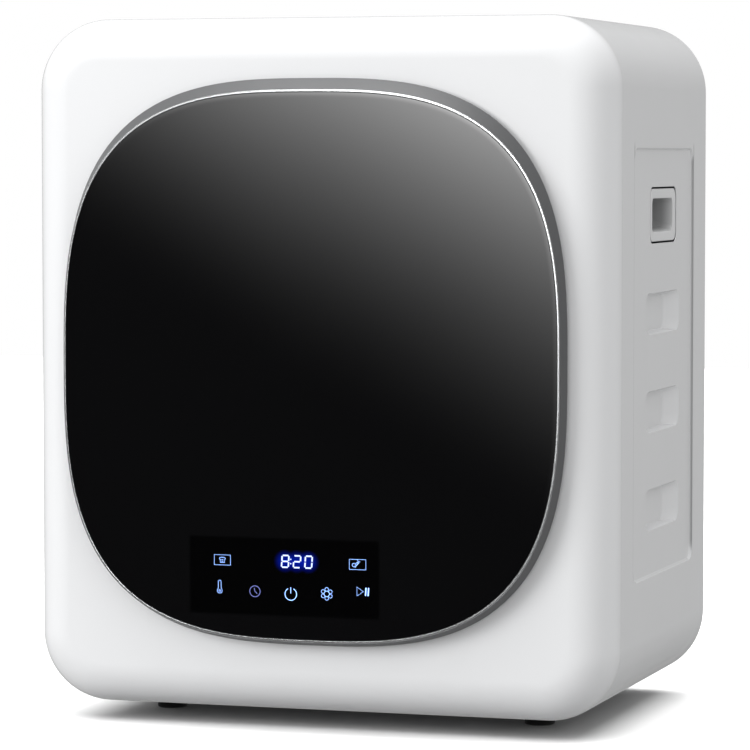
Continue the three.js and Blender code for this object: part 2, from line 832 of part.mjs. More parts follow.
function lifter() {
  const wall = (drumRadius - drumWall) * Math.cos(Math.PI / fine) - fit;
  const base = Math.sqrt(wall ** 2 - (lifterWidth / 2) ** 2);
  const shape = new THREE.Shape();
  shape.moveTo(-lifterWidth / 2, -base);
  shape.lineTo(lifterWidth / 2, -base);
  shape.quadraticCurveTo(10, -base + 4, 7, -base + lifterHeight - 4);
  shape.quadraticCurveTo(0, -base + lifterHeight + 4, -7, -base + lifterHeight - 4);
  shape.quadraticCurveTo(-10, -base + 4, -lifterWidth / 2, -base);
  return slab(shape, [drumFront + 50, drumBack - 34]);
}

function drumHub() {
  const barrelFront = drumBack - 20;
  const bore = hubRadius - 4;
  return turned([
    [bore, barrelFront],
    [hubRadius, barrelFront],
    [hubRadius, drumBack + fit],
    [46, drumBack + fit],
    [46, drumBack + 3.8],
    [12, drumBack + 3.8],
    [12, drumBack + 1],
    [bore, drumBack + 1],
  ], coarse);
}

function drumBearing() {
  const inner = spindleRadius + 0.4;
  const outer = hubRadius - 4.3;
  return sleeve([inner, outer], [drumBack - 19, drumBack], coarse);
}

function lintFilter() {
  const rim = drumBack - drumWall - 0.4;
  const front = rim - filterHeight;
  const dish = turned([
    [0, front],
    [filterRadius - 16, front],
    [filterRadius - 9, front + 4],
    [filterRadius - 2, rim - 4],
    [filterRadius, rim],
    [filterRadius - 3, rim],
    [filterRadius - 11.5, front + 5.5],
    [filterRadius - 17, front + 2.4],
    [0, front + 2.4],
  ], medium + 6, false);
  const windows = Array.from({ length: 10 }, (_, step) => {
    const slot = new THREE.BoxGeometry(48, 8, 15);
    slot.translate(60, front + 1, 0);
    slot.rotateY(((step + 0.5) * Math.PI) / 5);
    return solidFrom(slot);
  });
  return cut(dish, windows);
}

function rearFelt() {
  const depths = [drumBack + turning, rearBulkhead - fit];
  const inner = filterRadius + 6;
  return sleeve([inner, inner + 10], depths, medium + 6);
}

function spindleBracket() {
  const depths = [rearBulkhead + sheet + fit, rearBulkhead + sheet + fit + 5];
  const ring = sleeve([112, 126], depths, medium + 6);
  const arms = [0, 1, 2].map((step) => {
    const arm = new THREE.BoxGeometry(104, 5, 18);
    arm.translate(66, (depths[0] + depths[1]) / 2, 0);
    arm.rotateY(Math.PI / 6 + (step * 2 * Math.PI) / 3);
    return solidFrom(arm);
  });
  const boss = bar(22, depths, 0, 0, coarse);
  const bore = bar(spindleRadius + fit, [depths[0] - over, depths[1] + over], 0, 0, coarse);
  return cut(joined([ring, boss, ...arms]), [bore]);
}

function spindle() {
  const shoulder = rearBulkhead + sheet;
  return turned([
    [0, drumBack - 20],
    [spindleRadius, drumBack - 20],
    [spindleRadius, shoulder - 2.5],
    [11, shoulder - 2.5],
    [11, shoulder],
    [spindleRadius, shoulder],
    [spindleRadius, cabinetDepth - 5],
    [0, cabinetDepth - 5],
  ], coarse, false);
}

// ---------- fan ----------

function impeller() {
  const back = cabinetDepth - impellerBack;
  const front = back - impellerWidth;
  const plate = turned([
    [spindleRadius + 0.4, back - 14],
    [20, back - 14],
    [24, back - 2.5],
    [impellerRadius, back - 2.5],
    [impellerRadius, back],
    [22, back],
    [22, pulleyFront - fit],
    [spindleRadius + 0.4, pulleyFront - fit],
  ], medium + 6);
  const shroud = turned([
    [impellerRadius - 26, front],
    [impellerRadius, front],
    [impellerRadius, front + 2],
    [impellerRadius - 26, front + 2],
  ], medium + 6);
  const blades = Array.from({ length: bladeCount }, (_, step) => {
    const blade = new THREE.BoxGeometry(62, impellerWidth - 2, 1.8);
    blade.translate(0, (front + back) / 2, 0);
    blade.rotateY(0.5);
    blade.translate(impellerRadius - 32, 0, 0);
    blade.rotateY((step * 2 * Math.PI) / bladeCount);
    return solidFrom(blade);
  });
  const round = bar(impellerRadius - 0.6, [front - over, back + over], 0, 0, medium + 6);
  const trimmed = joined(blades).intersect(round);
  return joined([plate, shroud, trimmed]);
}

// The snail outline of the fan housing with its outlet box, set out by wall.
function scrollOutline(wall) {
  const start = THREE.MathUtils.degToRad(205 + wall * 5);
  const end = THREE.MathUtils.degToRad(540);
  const tongue = THREE.MathUtils.degToRad(205);
  const points = [];
  for (let step = 0; step <= 40; step += 1) {
    const angle = THREE.MathUtils.lerp(start, end, step / 40);
    const radius = scrollRadius - scrollWall + wall + (scrollGrowth * (angle - tongue)) / (2 * Math.PI);
    points.push(new THREE.Vector2(radius * Math.cos(angle), drumHeight + radius * Math.sin(angle)));
  }
  const centre = -(halfWidth - collarSide);
  const reach = collarRadius + 7 + wall;
  points.push(new THREE.Vector2(centre - reach, collarRise + 75));
  points.push(new THREE.Vector2(centre - reach, collarRise - reach));
  points.push(new THREE.Vector2(centre + reach, collarRise - reach));
  points.push(new THREE.Vector2(centre + reach, collarRise + 85));
  return new THREE.Shape(points);
}

function fanScroll() {
  const back = cabinetDepth - scrollBack;
  const front = rearBulkhead + sheet + fit;
  const outside = slab(scrollOutline(scrollWall), [front, back]);
  const air = slab(scrollOutline(0), [front - over, back - scrollWall]);
  const hub = bar(28, [back - 5, back + over], 0, drumHeight, coarse);
  const port = [back - 5, back + over];
  const outlet = bar(collarRadius - collarWall, port, -(halfWidth - collarSide), collarRise, medium + 6);
  return cut(outside, [air, hub, outlet]);
}

// ---------- drive ----------

// The points of a belt's face round wheels {x, z, radius}, counter-clockwise. A wheel with a negative radius
// presses on the belt from outside.
function beltFace(wheels) {
  const runs = wheels.map((wheel, at) => {
    const next = wheels[(at + 1) % wheels.length];
    const [across, up] = [next.x - wheel.x, next.z - wheel.z];
    return Math.atan2(up, across) - Math.asin((next.radius - wheel.radius) / Math.hypot(across, up));
  });
  const points = [];
  wheels.forEach((wheel, at) => {
    const turn = Math.sign(wheel.radius);
    const arrive = runs[(at + runs.length - 1) % runs.length];
    const sweep = THREE.MathUtils.euclideanModulo((runs[at] - arrive) * turn, 2 * Math.PI);
    const steps = Math.max(2, Math.ceil(sweep / (Math.abs(wheel.radius) > 100 ? 0.12 : 0.45)));
    for (let step = 0; step <= steps; step += 1) {
      const angle = arrive - Math.PI / 2 + (turn * sweep * step) / steps;
      const reach = new THREE.Vector2(Math.cos(angle), Math.sin(angle)).multiplyScalar(wheel.radius);
      points.push(reach.add(new THREE.Vector2(wheel.x, wheel.z)));
    }
  });
  return points;
}

// A flat belt: wheels carry the radius of their rims, negative where they press from outside.
function belt(wheels, depths) {
  const face = (lift) =>
    beltFace(wheels.map(({ x, z, radius }) => {
      const clear = radius > 0 ? beltGap + lift : -(beltGap + beltThickness - lift);
      return { x, z, radius: radius + clear };
    }));
  const loop = new THREE.Shape(face(beltThickness));
  return cut(slab(loop, depths), [slab(new THREE.Shape(face(0)), [depths[0] - over, depths[1] + over])]);
}

// The jockey wheel's place: on the belt's lower run, pressed in a little from outside.
function idlerSpot() {
  const low = -Math.acos((drumRadius - drivePulleyRadius) / Math.hypot(motorX, drumHeight - motorRise));
  const lean = Math.atan2(motorRise - drumHeight, motorX) + low;
  const [across, up] = [Math.cos(lean), Math.sin(lean)];
  const x = THREE.MathUtils.lerp(drumRadius * across, motorX + drivePulleyRadius * across, idlerShare);
  const z = THREE.MathUtils.lerp(drumHeight + drumRadius * up, motorRise + drivePulleyRadius * up, idlerShare);
  const drop = idlerRadius - idlerPush;
  return { x: x + across * drop, z: z + up * drop };
}

function drumBelt() {
  const { x, z } = idlerSpot();
  const wheels = [
    { x: 0, z: drumHeight, radius: drumRadius },
    { x, z, radius: -idlerRadius },
    { x: motorX, z: motorRise, radius: drivePulleyRadius },
  ];
  return belt(wheels, [drumBeltDepth, drumBeltDepth + beltWidth]);
}

function fanBelt() {
  const wheels = [
    { x: 0, z: drumHeight, radius: fanPulleyRadius - grooveDepth },
    { x: motorX, z: motorRise, radius: fanDriveRadius - grooveDepth },
  ];
  return belt(wheels, [pulleyFront + 1.3, pulleyFront + pulleyWidth - 1.3]);
}

function groovedPulley(radius, bore, [front, back], flange, sides) {
  const floor = radius - grooveDepth;
  return turned([
    [bore, front],
    [radius, front],
    [radius, front + flange],
    [floor, front + flange],
    [floor, back - flange],
    [radius, back - flange],
    [radius, back],
    [bore, back],
  ], sides);
}

function drivePulley() {
  const bore = shaftRadius + 0.2;
  const [front, back] = [drumBeltDepth - 3, drumBeltDepth + beltWidth + 3];
  return turned([
    [bore, front],
    [drivePulleyRadius + 2.5, front],
    [drivePulleyRadius + 2.5, front + 2],
    [drivePulleyRadius, front + 2],
    [drivePulleyRadius, back - 2],
    [drivePulleyRadius + 2.5, back - 2],
    [drivePulleyRadius + 2.5, back],
    [bore, back],
  ], coarse);
}

function motorStator() {
  const depths = [motorFront + 26, motorBack - 26];
  return sleeve([statorBore, motorRadius], depths, medium);
}

// The rotor with the shaft that comes out at both ends of the motor.
function motorRotor() {
  const shaft = bar(shaftRadius, [drumBeltDepth - 6, pulleyFront + pulleyWidth], 0, 0, plain);
  return shaft.add(bar(statorBore - 1, [motorFront + 20, motorBack - 20], 0, 0, coarse));
}

// One end bell of the motor. It is drawn for the front, and turned round for the back.
function endBell() {
  return turned([
    [shaftRadius + 0.8, 0],
    [14, 0],
    [18, 6],
    [motorRadius - 8, 10],
    [motorRadius, 18],
    [motorRadius, 26 - fit],
    [motorRadius - 3, 26 - fit],
    [motorRadius - 3, 19],
    [motorRadius - 9.5, 12.6],
    [shaftRadius + 0.8, 8.6],
  ], medium);
}

function motorBracket() {
  const bottom = sheet + 3 + fit;
  const left = 4 - motorRadius;
  const right = motorSideInset - cornerRadius - 4;
  const heights = [bottom - motorRise, bottom + 2.5 - motorRise];
  const foot = box([left - 8, right], [motorFront + 26, motorBack - 26], heights);
  const walls = [motorFront + 28, motorBack - 31].map((front) =>
    box([left, right], [front, front + 3], [bottom - motorRise, -18]));
  return cut(joined([foot, ...walls]), [bar(motorRadius + fit, [motorFront, motorBack], 0, 0, medium)]);
}

function pivotSpot() {
  const { x, z } = idlerSpot();
  return { x: x - idlerArmRun, z: z - idlerArmDrop };
}

function idlerArm() {
  const back = drumBeltDepth - 1.5;
  const front = back - 3;
  const length = Math.hypot(idlerArmRun, idlerArmDrop);
  const strip = new THREE.BoxGeometry(length, back - front, 14);
  strip.translate(length / 2, (front + back) / 2, 0);
  strip.rotateY(-Math.atan2(idlerArmDrop, idlerArmRun));
  const eye = bar(10, [front, back], 0, 0, coarse);
  const tip = bar(8, [front, back], idlerArmRun, idlerArmDrop, coarse);
  const axle = bar(4, [front, drumBeltDepth + beltWidth + 3], idlerArmRun, idlerArmDrop, plain);
  const bore = bar(5 + fit, [front - over, back + over], 0, 0, coarse);
  return cut(joined([solidFrom(strip), eye, tip, axle]), [bore]);
}

function idlerPulley() {
  const bore = 4 + 0.4;
  const [front, back] = [drumBeltDepth - 1, drumBeltDepth + beltWidth + 1];
  return turned([[bore, front], [idlerRadius, front], [idlerRadius, back], [bore, back]], coarse);
}

// The post that the jockey arm swings on, with its foot on the base plate.
function idlerPost() {
  const back = drumBeltDepth + 12;
  const { z } = pivotSpot();
  const pin = bar(5, [drumBeltDepth - 8, back + 1], 0, 0, plain);
  const head = bar(7.5, [drumBeltDepth - 9, drumBeltDepth - 7], 0, 0, plain);
  const upright = box([-11, 11], [back, back + 3], [sheet + 3 + fit - z, 11]);
  const foot = box([-11, 11], [back, back + 26], [sheet + 3 + fit - z, sheet + 6 + fit - z]);
  return joined([pin, head, upright, foot]);
}

class CoilPath extends THREE.Curve {
  constructor(radius, front, back, turns) {
    super();
    Object.assign(this, { radius, front, back, turns });
  }

  getPoint(share, target = new THREE.Vector3()) {
    const angle = share * this.turns * 2 * Math.PI;
    const depth = THREE.MathUtils.lerp(this.front, this.back, share);
    return target.set(this.radius * Math.cos(angle), depth, this.radius * Math.sin(angle));
  }
}

function idlerSpring() {
  const wire = new THREE.Shape().absarc(0, 0, 1, 0, 2 * Math.PI);
  const path = new CoilPath(7.2, drumBeltDepth + 0.6, drumBeltDepth + 10.2, 3.5);
  return solidFrom(new THREE.ExtrudeGeometry(wire, { steps: 30, extrudePath: path, curveSegments: 2 }));
}

// ---------- heater and controls ----------

function heaterDuct() {
  const outline = (inset) =>
    slab(roundedRectangle(ductWidth - 2 * inset, ductHeight - 2 * inset, 8 - inset),
      [bulkheadDepth + sheet + fit - inset * 2, rearBulkhead - 40 + inset * 2]);
  return cut(outline(0), [outline(ductWall)]);
}

function heaterBlock() {
  const half = [ductWidth / 2 - ductWall - 3, ductHeight / 2 - ductWall - 3];
  const block = box([-half[0], half[0]], [0, 26], [-half[1], half[1]]);
  const rows = [-2, -1, 0, 1, 2].map((row) =>
    box([-half[0] + 5, half[0] - 5], [-over, 26 + over], [row * 11 - 3.4, row * 11 + 3.4]));
  const ribs = [-24, 0, 24].map((x) => box([x - 1, x + 1], [1, 25], [-half[1] + 1, half[1] - 1]));
  return joined([cut(block, rows), ...ribs]);
}

function thermostat() {
  const base = ductHeight / 2 + fit;
  const can = post(9, [base, base + 9], 0, 0, coarse);
  const ears = box([-16, 16], [-5, 5], [base, base + 1.2]);
  return can.add(ears);
}

function controlBox() {
  const depths = [boxWall, boxDepth - boxWall];
  const inside = box([boxWall, boxWidth - boxWall], depths, [boxWall, boxHeight + over]);
  const outside = box([0, boxWidth], [0, boxDepth], [0, boxHeight]);
  return cut(outside, [inside]);
}

function controlBoard() {
  const board = box([4, boxWidth - 4], [4, boxDepth - 4], [6, 6 + boardThickness]);
  const parts = [
    box([12, 40], [14, 34], [7, 24]),
    box([12, 34], [44, 66], [7, 27]),
    box([60, 96], [16, 52], [7, 30]),
    box([52, 70], [70, 96], [7, 20]),
  ];
  return joined([board, ...parts]);
}

function catchMagnet() {
  const flange = bar(13, [shellWall + fit, shellWall + 5], 0, 0, coarse);
  return bar(8.5, [-doorGap + 1.9, shellWall + 8], 0, 0, coarse).add(flange);
}

function keeperPlate() {
  return box([-10, 10], [-doorGap - 0.2, -doorGap + 1.5], [-14, 14]);
}

function doorSwitch() {
  return box([-7, 7], [shellWall + fit, shellWall + 9], [-18, 18]);
}

// ---------- assembly ----------

function cabinetGroup() {
  const feet = ['front_left', 'front_right', 'rear_left', 'rear_right'].map((place, at) =>
    placed(mesh(`foot_${place}`, foot(), finishes.rubber), ...footSpots()[at], 0));
  return gather(
    mesh('front_shell', frontShell(), finishes.glossWhite),
    mesh('cabinet_wrap', cabinetWrap(), finishes.paintedWhite),
    mesh('base_plate', basePlate(), finishes.zincSteel),
    mesh('handle_cup_left', handleCup(-1), finishes.softWhite),
    mesh('handle_cup_right', handleCup(1), finishes.softWhite),
    mesh('rear_cover', rearCover(), finishes.zincSteel),
    placed(mesh('exhaust_collar', exhaustCollar(), finishes.softWhite), -(halfWidth - collarSide), 0, collarRise),
    placed(mesh('cord_gland', cordGland(), finishes.blackPlastic), glandX(), 0, glandHeight),
    mesh('hinge_bracket', hingeBracket(), finishes.zincSteel),
    placed(mesh('catch_magnet', catchMagnet(), finishes.darkGrey), catchX, 0, doorHeight),
    placed(mesh('door_switch', doorSwitch(), finishes.blackPlastic), catchX, 0, doorHeight + 46),
    ...feet,
  );
}

function doorGroup() {
  return gather(
    mesh('door_glass', doorGlass(), finishes.blackGlass),
    mesh('door_trim_ring', trimRing(), finishes.silverTrim),
    mesh('door_frame', doorFrame(), finishes.darkGrey),
    mesh('door_liner', doorLiner(), finishes.midGrey),
    placed(mesh('door_seal', doorSeal(), finishes.rubber), 0, 0, drumHeight),
    mesh('door_hinge_leaf', hingeLeaf(), finishes.zincSteel),
    mesh('hinge_pin', hingePin(), finishes.stainless),
    placed(mesh('keeper_plate', keeperPlate(), finishes.zincSteel), catchX, 0, doorHeight),
    mesh('display_board', displayBoard(), finishes.circuitBoard),
    mesh('display_light_guide', lightGuide(), finishes.softWhite),
  );
}

function drumGroup() {
  const lifters = Array.from({ length: lifterCount }, (_, step) => {
    const piece = mesh(`drum_lifter_${step + 1}`, lifter(), finishes.softWhite);
    piece.rotation.y = (step * 2 * Math.PI) / lifterCount;
    return piece;
  });
  const group = gather(
    mesh('drum', drum(), finishes.stainless),
    ...lifters,
    mesh('drum_hub', drumHub(), finishes.castAlloy),
    mesh('drum_bearing', drumBearing(), finishes.zincSteel),
    mesh('lint_filter', lintFilter(), finishes.midGrey),
    mesh('mouth_ring', mouthRing(), finishes.softWhite),
    mesh('front_felt', frontFelt(), finishes.felt),
    mesh('rear_felt', rearFelt(), finishes.felt),
    mesh('spindle_bracket', spindleBracket(), finishes.castAlloy),
    mesh('drum_spindle', spindle(), finishes.stainless),
    mesh('impeller', impeller(), finishes.blackPlastic),
    mesh('fan_pulley', fanPulley(), finishes.castAlloy),
  );
  return placed(group, 0, 0, drumHeight);
}

function fanPulley() {
  return groovedPulley(fanPulleyRadius, spindleRadius + 0.4, [pulleyFront, pulleyFront + pulleyWidth], 1, medium);
}

function motorGroup() {
  const depths = [pulleyFront, pulleyFront + pulleyWidth];
  const rearBell = placed(mesh('motor_end_rear', endBell(), finishes.castAlloy), 0, motorBack, 0);
  rearBell.rotation.x = Math.PI;
  const group = gather(
    mesh('motor_stator', motorStator(), finishes.zincSteel),
    mesh('motor_rotor', motorRotor(), finishes.castAlloy),
    placed(mesh('motor_end_front', endBell(), finishes.castAlloy), 0, motorFront, 0),
    rearBell,
    mesh('drum_drive_pulley', drivePulley(), finishes.castAlloy),
    mesh('fan_drive_pulley', groovedPulley(fanDriveRadius, shaftRadius + 0.2, depths, 1, medium), finishes.castAlloy),
    mesh('motor_bracket', motorBracket(), finishes.zincSteel),
  );
  return placed(group, motorX, 0, motorRise);
}

function idlerGroup() {
  const { x, z } = pivotSpot();
  const pulley = mesh('idler_pulley', idlerPulley(), finishes.blackPlastic);
  const group = gather(
    mesh('idler_arm', idlerArm(), finishes.zincSteel),
    mesh('idler_post', idlerPost(), finishes.zincSteel),
    mesh('idler_spring', idlerSpring(), finishes.stainless),
    placed(pulley, idlerArmRun, 0, idlerArmDrop),
  );
  return placed(group, x, 0, z);
}

function airAndControls() {
  const duct = gather(
    mesh('heater_duct', heaterDuct(), finishes.zincSteel),
    placed(mesh('ptc_heater', heaterBlock(), finishes.castAlloy), 0, motorFront, 0),
    placed(mesh('thermostat', thermostat(), finishes.blackPlastic), 0, motorBack - 20, 0),
  );
  const electronics = gather(
    mesh('control_box', controlBox(), finishes.softWhite),
    mesh('control_board', controlBoard(), finishes.circuitBoard),
  );
  return gather(
    placed(duct, heaterX(), 0, motorRise - 10),
    placed(electronics, halfWidth - 172, bulkheadDepth + 34, cabinetHeight - 74),
    mesh('front_bulkhead', frontBulkhead(), finishes.zincSteel),
    mesh('rear_bulkhead', rearBulkheadPanel(), finishes.zincSteel),
    mesh('fan_scroll', fanScroll(), finishes.blackPlastic),
    mesh('drum_belt', drumBelt(), finishes.rubber),
    mesh('fan_belt', fanBelt(), finishes.rubber),
  );
}

// The whole dryer stands on Z = 0, centred over the origin from the door's crown to the end of the exhaust collar.
const doorCrown = doorProud - 0.1 + glassCrown;
const dryer = gather(cabinetGroup(), doorGroup(), drumGroup(), motorGroup(), idlerGroup(), airAndControls());
placed(dryer, 0, (doorCrown - cabinetDepth - collarReach) / 2, footHeight);

export default gather(dryer);
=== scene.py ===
"""Looks of a compact vented clothes dryer, laid out as an add-on.

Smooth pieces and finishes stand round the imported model.
"""

import json
import math

import bmesh
import bpy
from bpy.props import FloatProperty, FloatVectorProperty, IntProperty, PointerProperty
from mathutils import Matrix, Vector


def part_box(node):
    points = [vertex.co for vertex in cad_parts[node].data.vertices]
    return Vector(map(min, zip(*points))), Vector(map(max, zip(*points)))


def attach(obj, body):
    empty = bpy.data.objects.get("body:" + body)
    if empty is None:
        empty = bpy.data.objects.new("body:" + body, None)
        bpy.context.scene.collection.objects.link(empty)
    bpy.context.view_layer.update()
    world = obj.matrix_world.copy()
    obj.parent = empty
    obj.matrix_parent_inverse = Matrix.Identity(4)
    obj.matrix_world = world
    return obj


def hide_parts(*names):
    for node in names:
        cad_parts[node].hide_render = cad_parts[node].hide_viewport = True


bl_info = {
    "name": "Clothes dryer looks",
    "version": (1, 0, 0),
    "blender": (4, 5, 0),
    "location": "3D View > Sidebar > Dryer",
    "description": "Builds the visible pieces of a compact clothes dryer round its packed model",
    "category": "Add Mesh",
}

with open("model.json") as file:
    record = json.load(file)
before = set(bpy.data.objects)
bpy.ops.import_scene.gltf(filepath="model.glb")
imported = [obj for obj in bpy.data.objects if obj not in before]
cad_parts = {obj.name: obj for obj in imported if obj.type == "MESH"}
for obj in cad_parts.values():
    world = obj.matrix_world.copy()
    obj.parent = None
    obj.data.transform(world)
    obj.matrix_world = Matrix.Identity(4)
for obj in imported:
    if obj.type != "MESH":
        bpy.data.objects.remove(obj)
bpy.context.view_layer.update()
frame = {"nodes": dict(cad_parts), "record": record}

# The cabinet's own place: X across, Y back from the shell's face, Z up from the wrap's underside.
ORIGIN = Vector((0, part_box("front_shell")[0].y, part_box("cabinet_wrap")[0].z))
# Flat drawings are made in X and Y with Z towards the viewer, then turned to face one side of the cabinet.
FACING_FRONT = Matrix(((1, 0, 0, 0), (0, 0, -1, 0), (0, 1, 0, 0), (0, 0, 0, 1)))
FACING_BACK = Matrix(((-1, 0, 0, 0), (0, 0, 1, 0), (0, 1, 0, 0), (0, 0, 0, 1)))
FACING_RIGHT = Matrix(((0, 0, 1, 0), (1, 0, 0, 0), (0, 1, 0, 0), (0, 0, 0, 1)))
# The rounded shoulder and foot of a press, as shares of its slope and of its depth.
PRESS_CURVE = ((0.12, 0.02), (0.3, 0.14), (0.5, 0.5), (0.7, 0.86), (0.88, 0.98), (1, 1))


def spot(node):
    """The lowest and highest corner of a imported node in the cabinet's own place."""
    low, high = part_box(node)
    return low - ORIGIN, high - ORIGIN


def middle_of(node):
    low, high = spot(node)
    return (low + high) / 2


def length(title, note, default):
    return FloatProperty(name=title, description=note, default=default, min=0, unit="LENGTH", precision=4)


def colour(title, note, default):
    return FloatVectorProperty(name=title, description=note, default=default, subtype="COLOR", min=0, max=1)


WRAP = spot("cabinet_wrap")
GLASS = spot("door_glass")
RING = spot("door_trim_ring")
FRAME = spot("door_frame")
LIFTER = spot("drum_lifter_1")
# The long ramp of a pocket, as shares of the way in and of its depth. The door's bowl, as metres in from its
# mouth and shares of its depth, and how much smaller its mouth is than the ring round it.
POCKET_CURVE = ((0.05, 0.01), (0.14, 0.08), (0.5, 0.5), (0.84, 0.9), (0.94, 0.98), (1, 1))
BOWL_CURVE = ((0.0005, 0.04), (0.0015, 0.12), (0.0035, 0.3), (0.007, 0.55), (0.011, 0.75), (0.017, 0.88),
              (0.025, 0.95), (0.04, 0.985), (0.08, 1), (0.11, 1))
BOWL_INSET = 0.038
# Half the width and half the height of a hinge arm's slot in the shell.
ARM_SLOT = (0.0025, 0.006)
# The walls of the door's liner and the lint filter, and of a hand cup.
MOULDED_WALL = 0.0022
CUP_WALL = 0.0018
# The corners of what is pressed or cut into a side, and how a pocket narrows and leans towards its floor.
FIELD_CORNER = 0.014
FIELD_SLOPE = 0.003
CUP_WINDOW_CORNER = 0.0098
POCKET_CORNER = 0.013
POCKET_TAPER = (0.038, 0.006)
POCKET_LEAN = 0.017
POCKETS = 3
# The rear cover: the radii of its holes, its slots, its ribs as (length, height, height of the middle), how
# far slots and ribs stand out, and the raised round with the dish in it.
COLLAR_HOLE = 0.051
GLAND_HOLE = 0.0094
SCREW_HOLE = 0.0022
SLOT_SIZE = (0.15, 0.0075)
SLOT_ACROSS = -0.135
SLOT_TOP = 0.104
SLOT_PITCH = 0.016
RIBS = ((0.40, 0.012, 0.052), (0.33, 0.012, 0.622))
COVER_PRESS = 0.0022
ROUND_RISE = 0.004
DISH_RADIUS = 0.06
# The lint filter's windows and the vents in the drum's back lie between these radii.
FILTER_WINDOWS = (0.036, 0.084)
VENT_RADII = (0.05, 0.098)
# The flat border round each small pad of the drum, and how deep the pad is.
PAD_BORDER = 0.0026
PAD_DEPTH = 0.0009

# The display's marks in millimetres from the middle of its board. A figure's place is its middle.
DIGITS = (("8", -5.9), ("2", 6.1), ("0", 17.8))
DIGIT_LINE = 15.4
DIGIT_WIDTH = 6.9
DIGIT_HEIGHT = 11.4
DIGIT_LEAN = 0.07
SEGMENT_WIDTH = 1.45
SEGMENT_GAP = 0.55
SEGMENTS = {"a": ((0, 1), (1, 1)), "b": ((1, 1), (1, 0.5)), "c": ((1, 0.5), (1, 0)), "d": ((0, 0), (1, 0)),
            "e": ((0, 0), (0, 0.5)), "f": ((0, 0.5), (0, 1)), "g": ((0, 0.5), (1, 0.5))}
SEGMENTS_LIT = {"8": "abcdefg", "2": "abged", "0": "abcdef"}
FRAMED_ICONS_X = (-69.9, 67.7)
# In metres: how far the glow spreads from a digit, and the window's left, right, lower and upper side.
HALO_REACH = 0.012
WINDOW_SIDES = (-0.105, 0.088, -0.039, 0.036)
# Half the width of the painted shade line along a crease where a field is pressed in.
CREASE_SHADE_WIDTH = 0.002

# Each light's size, its place and the point that it faces. The card leans its fade to one side.
KEY_LIGHT = ((2.4, 2.0), (-2.8, -3.3, 1.6), (0, 0, 0.35))
SKY_LIGHT = ((10, 12), (-1.5, 1.4, 4.5), (-1.5, 1.4, 0))
TOP_LIGHT = ((1.8, 1.0), (-0.2, -0.2, 2.6), (0, 0, 0.3))
CARD_SIZE = (2.4, 1.6)
CARD_LEAN = 0.5


# ---------- sizes that a user would change ----------


class CabinetSizes(bpy.types.PropertyGroup):
    corner: length("Corner radius", "Radius of the cabinet's long edges", 0.0695)
    fillet: length("Front fillet", "Rounding of the shell's front edge", 0.042)
    shell_wall: length("Shell wall", "Thickness of the moulded front shell", 0.003)
    sheet: length("Sheet", "Thickness of the steel wrap", 0.0012)
    field_front: length("Field front", "Depth at which the pressed field of a side starts", 0.091)
    field_back: length("Field back", "Depth at which the pressed field of a side ends", 0.343)
    field_bottom: length("Field bottom", "Height at which the pressed field of a side starts", 0.127)
    field_top: length("Field top", "Height at which the pressed field of a side ends", 0.549)
    field_drop: length("Field depth", "How deep the field is pressed", 0.0025)
    pocket_length: length("Pocket length", "Length of a pocket along its side", 0.141)
    pocket_height: length("Pocket height", "Height of a pocket", 0.041)
    pocket_drop: length("Pocket depth", "How deep a pocket is pressed below the field", 0.009)
    pocket_low: length("Lowest pocket", "Height of the lowest pocket's middle", 0.193)
    cup_gap: length("Cup gap", "Gap round the hand cup's rim", 0.0008)
    cup_length: length("Cup length", "Length of a hand cup's rim", 0.110)
    cup_height: length("Cup height", "Height of a hand cup's rim", 0.054)
    mouth_lap: length("Mouth lap", "How far the mouth ring reaches behind the shell", 0.006)
    arm_spread: length("Arm spread", "Height of a hinge arm above or below the pin's middle", 0.034)
    flange: length("Flange", "Width of the flange behind the rear cover", 0.014)
    housing: length("Housing", "Radius of the raised round on the rear cover", 0.135)
    collar_radius: length("Collar", "Outer radius of the exhaust collar's tube", 0.050)
    louvres: IntProperty(name="Louvres", description="Rows of louvres in the rear cover", default=6, min=1)
    middle: length("Side middle", "Depth of the middle line of the cup and the pockets", 0.2205)
    steps: IntProperty(name="Corner steps", description="Faces round a quarter turn", default=20, min=4)


class DoorSizes(bpy.types.PropertyGroup):
    power: FloatProperty(name="Squareness", description="Power of the door's outline", default=2.98, min=2)
    steps: IntProperty(name="Outline steps", description="Faces round the door's outline", default=176,
                       min=24)
    crown: length("Glass crown", "How far the middle of the glass stands forward of its edge", 0.0017)
    ring_width: length("Ring width", "Width of the silver ring", 0.0023)
    ring_gap: length("Ring gap", "Gap between the glass and the silver ring", 0.0001)


class DrumSizes(bpy.types.PropertyGroup):
    steps: IntProperty(name="Drum steps", description="Faces round the drum", default=144, min=24)
    wall: length("Drum wall", "Thickness of the drum's sheet", 0.0015)
    vents: IntProperty(name="Vents", description="Slots in the drum's back", default=12, min=3)


class Finishes(bpy.types.PropertyGroup):
    shell: colour("Shell", "Gloss white of the front shell", (0.86, 0.865, 0.875))
    steel: colour("Painted steel", "White of the painted steel wrap", (0.82, 0.825, 0.835))
    band: colour("Door band", "Grey of the door's sloped band", (0.115, 0.117, 0.12))
    silver: colour("Trim", "Silver of the door's ring", (0.68, 0.69, 0.70))
    glow: colour("Display glow", "Blue light that spreads round the digits", (0.0, 0.03, 1.0))
    light: colour("Display light", "Colour of the lit marks", (0.27, 0.46, 1.0))


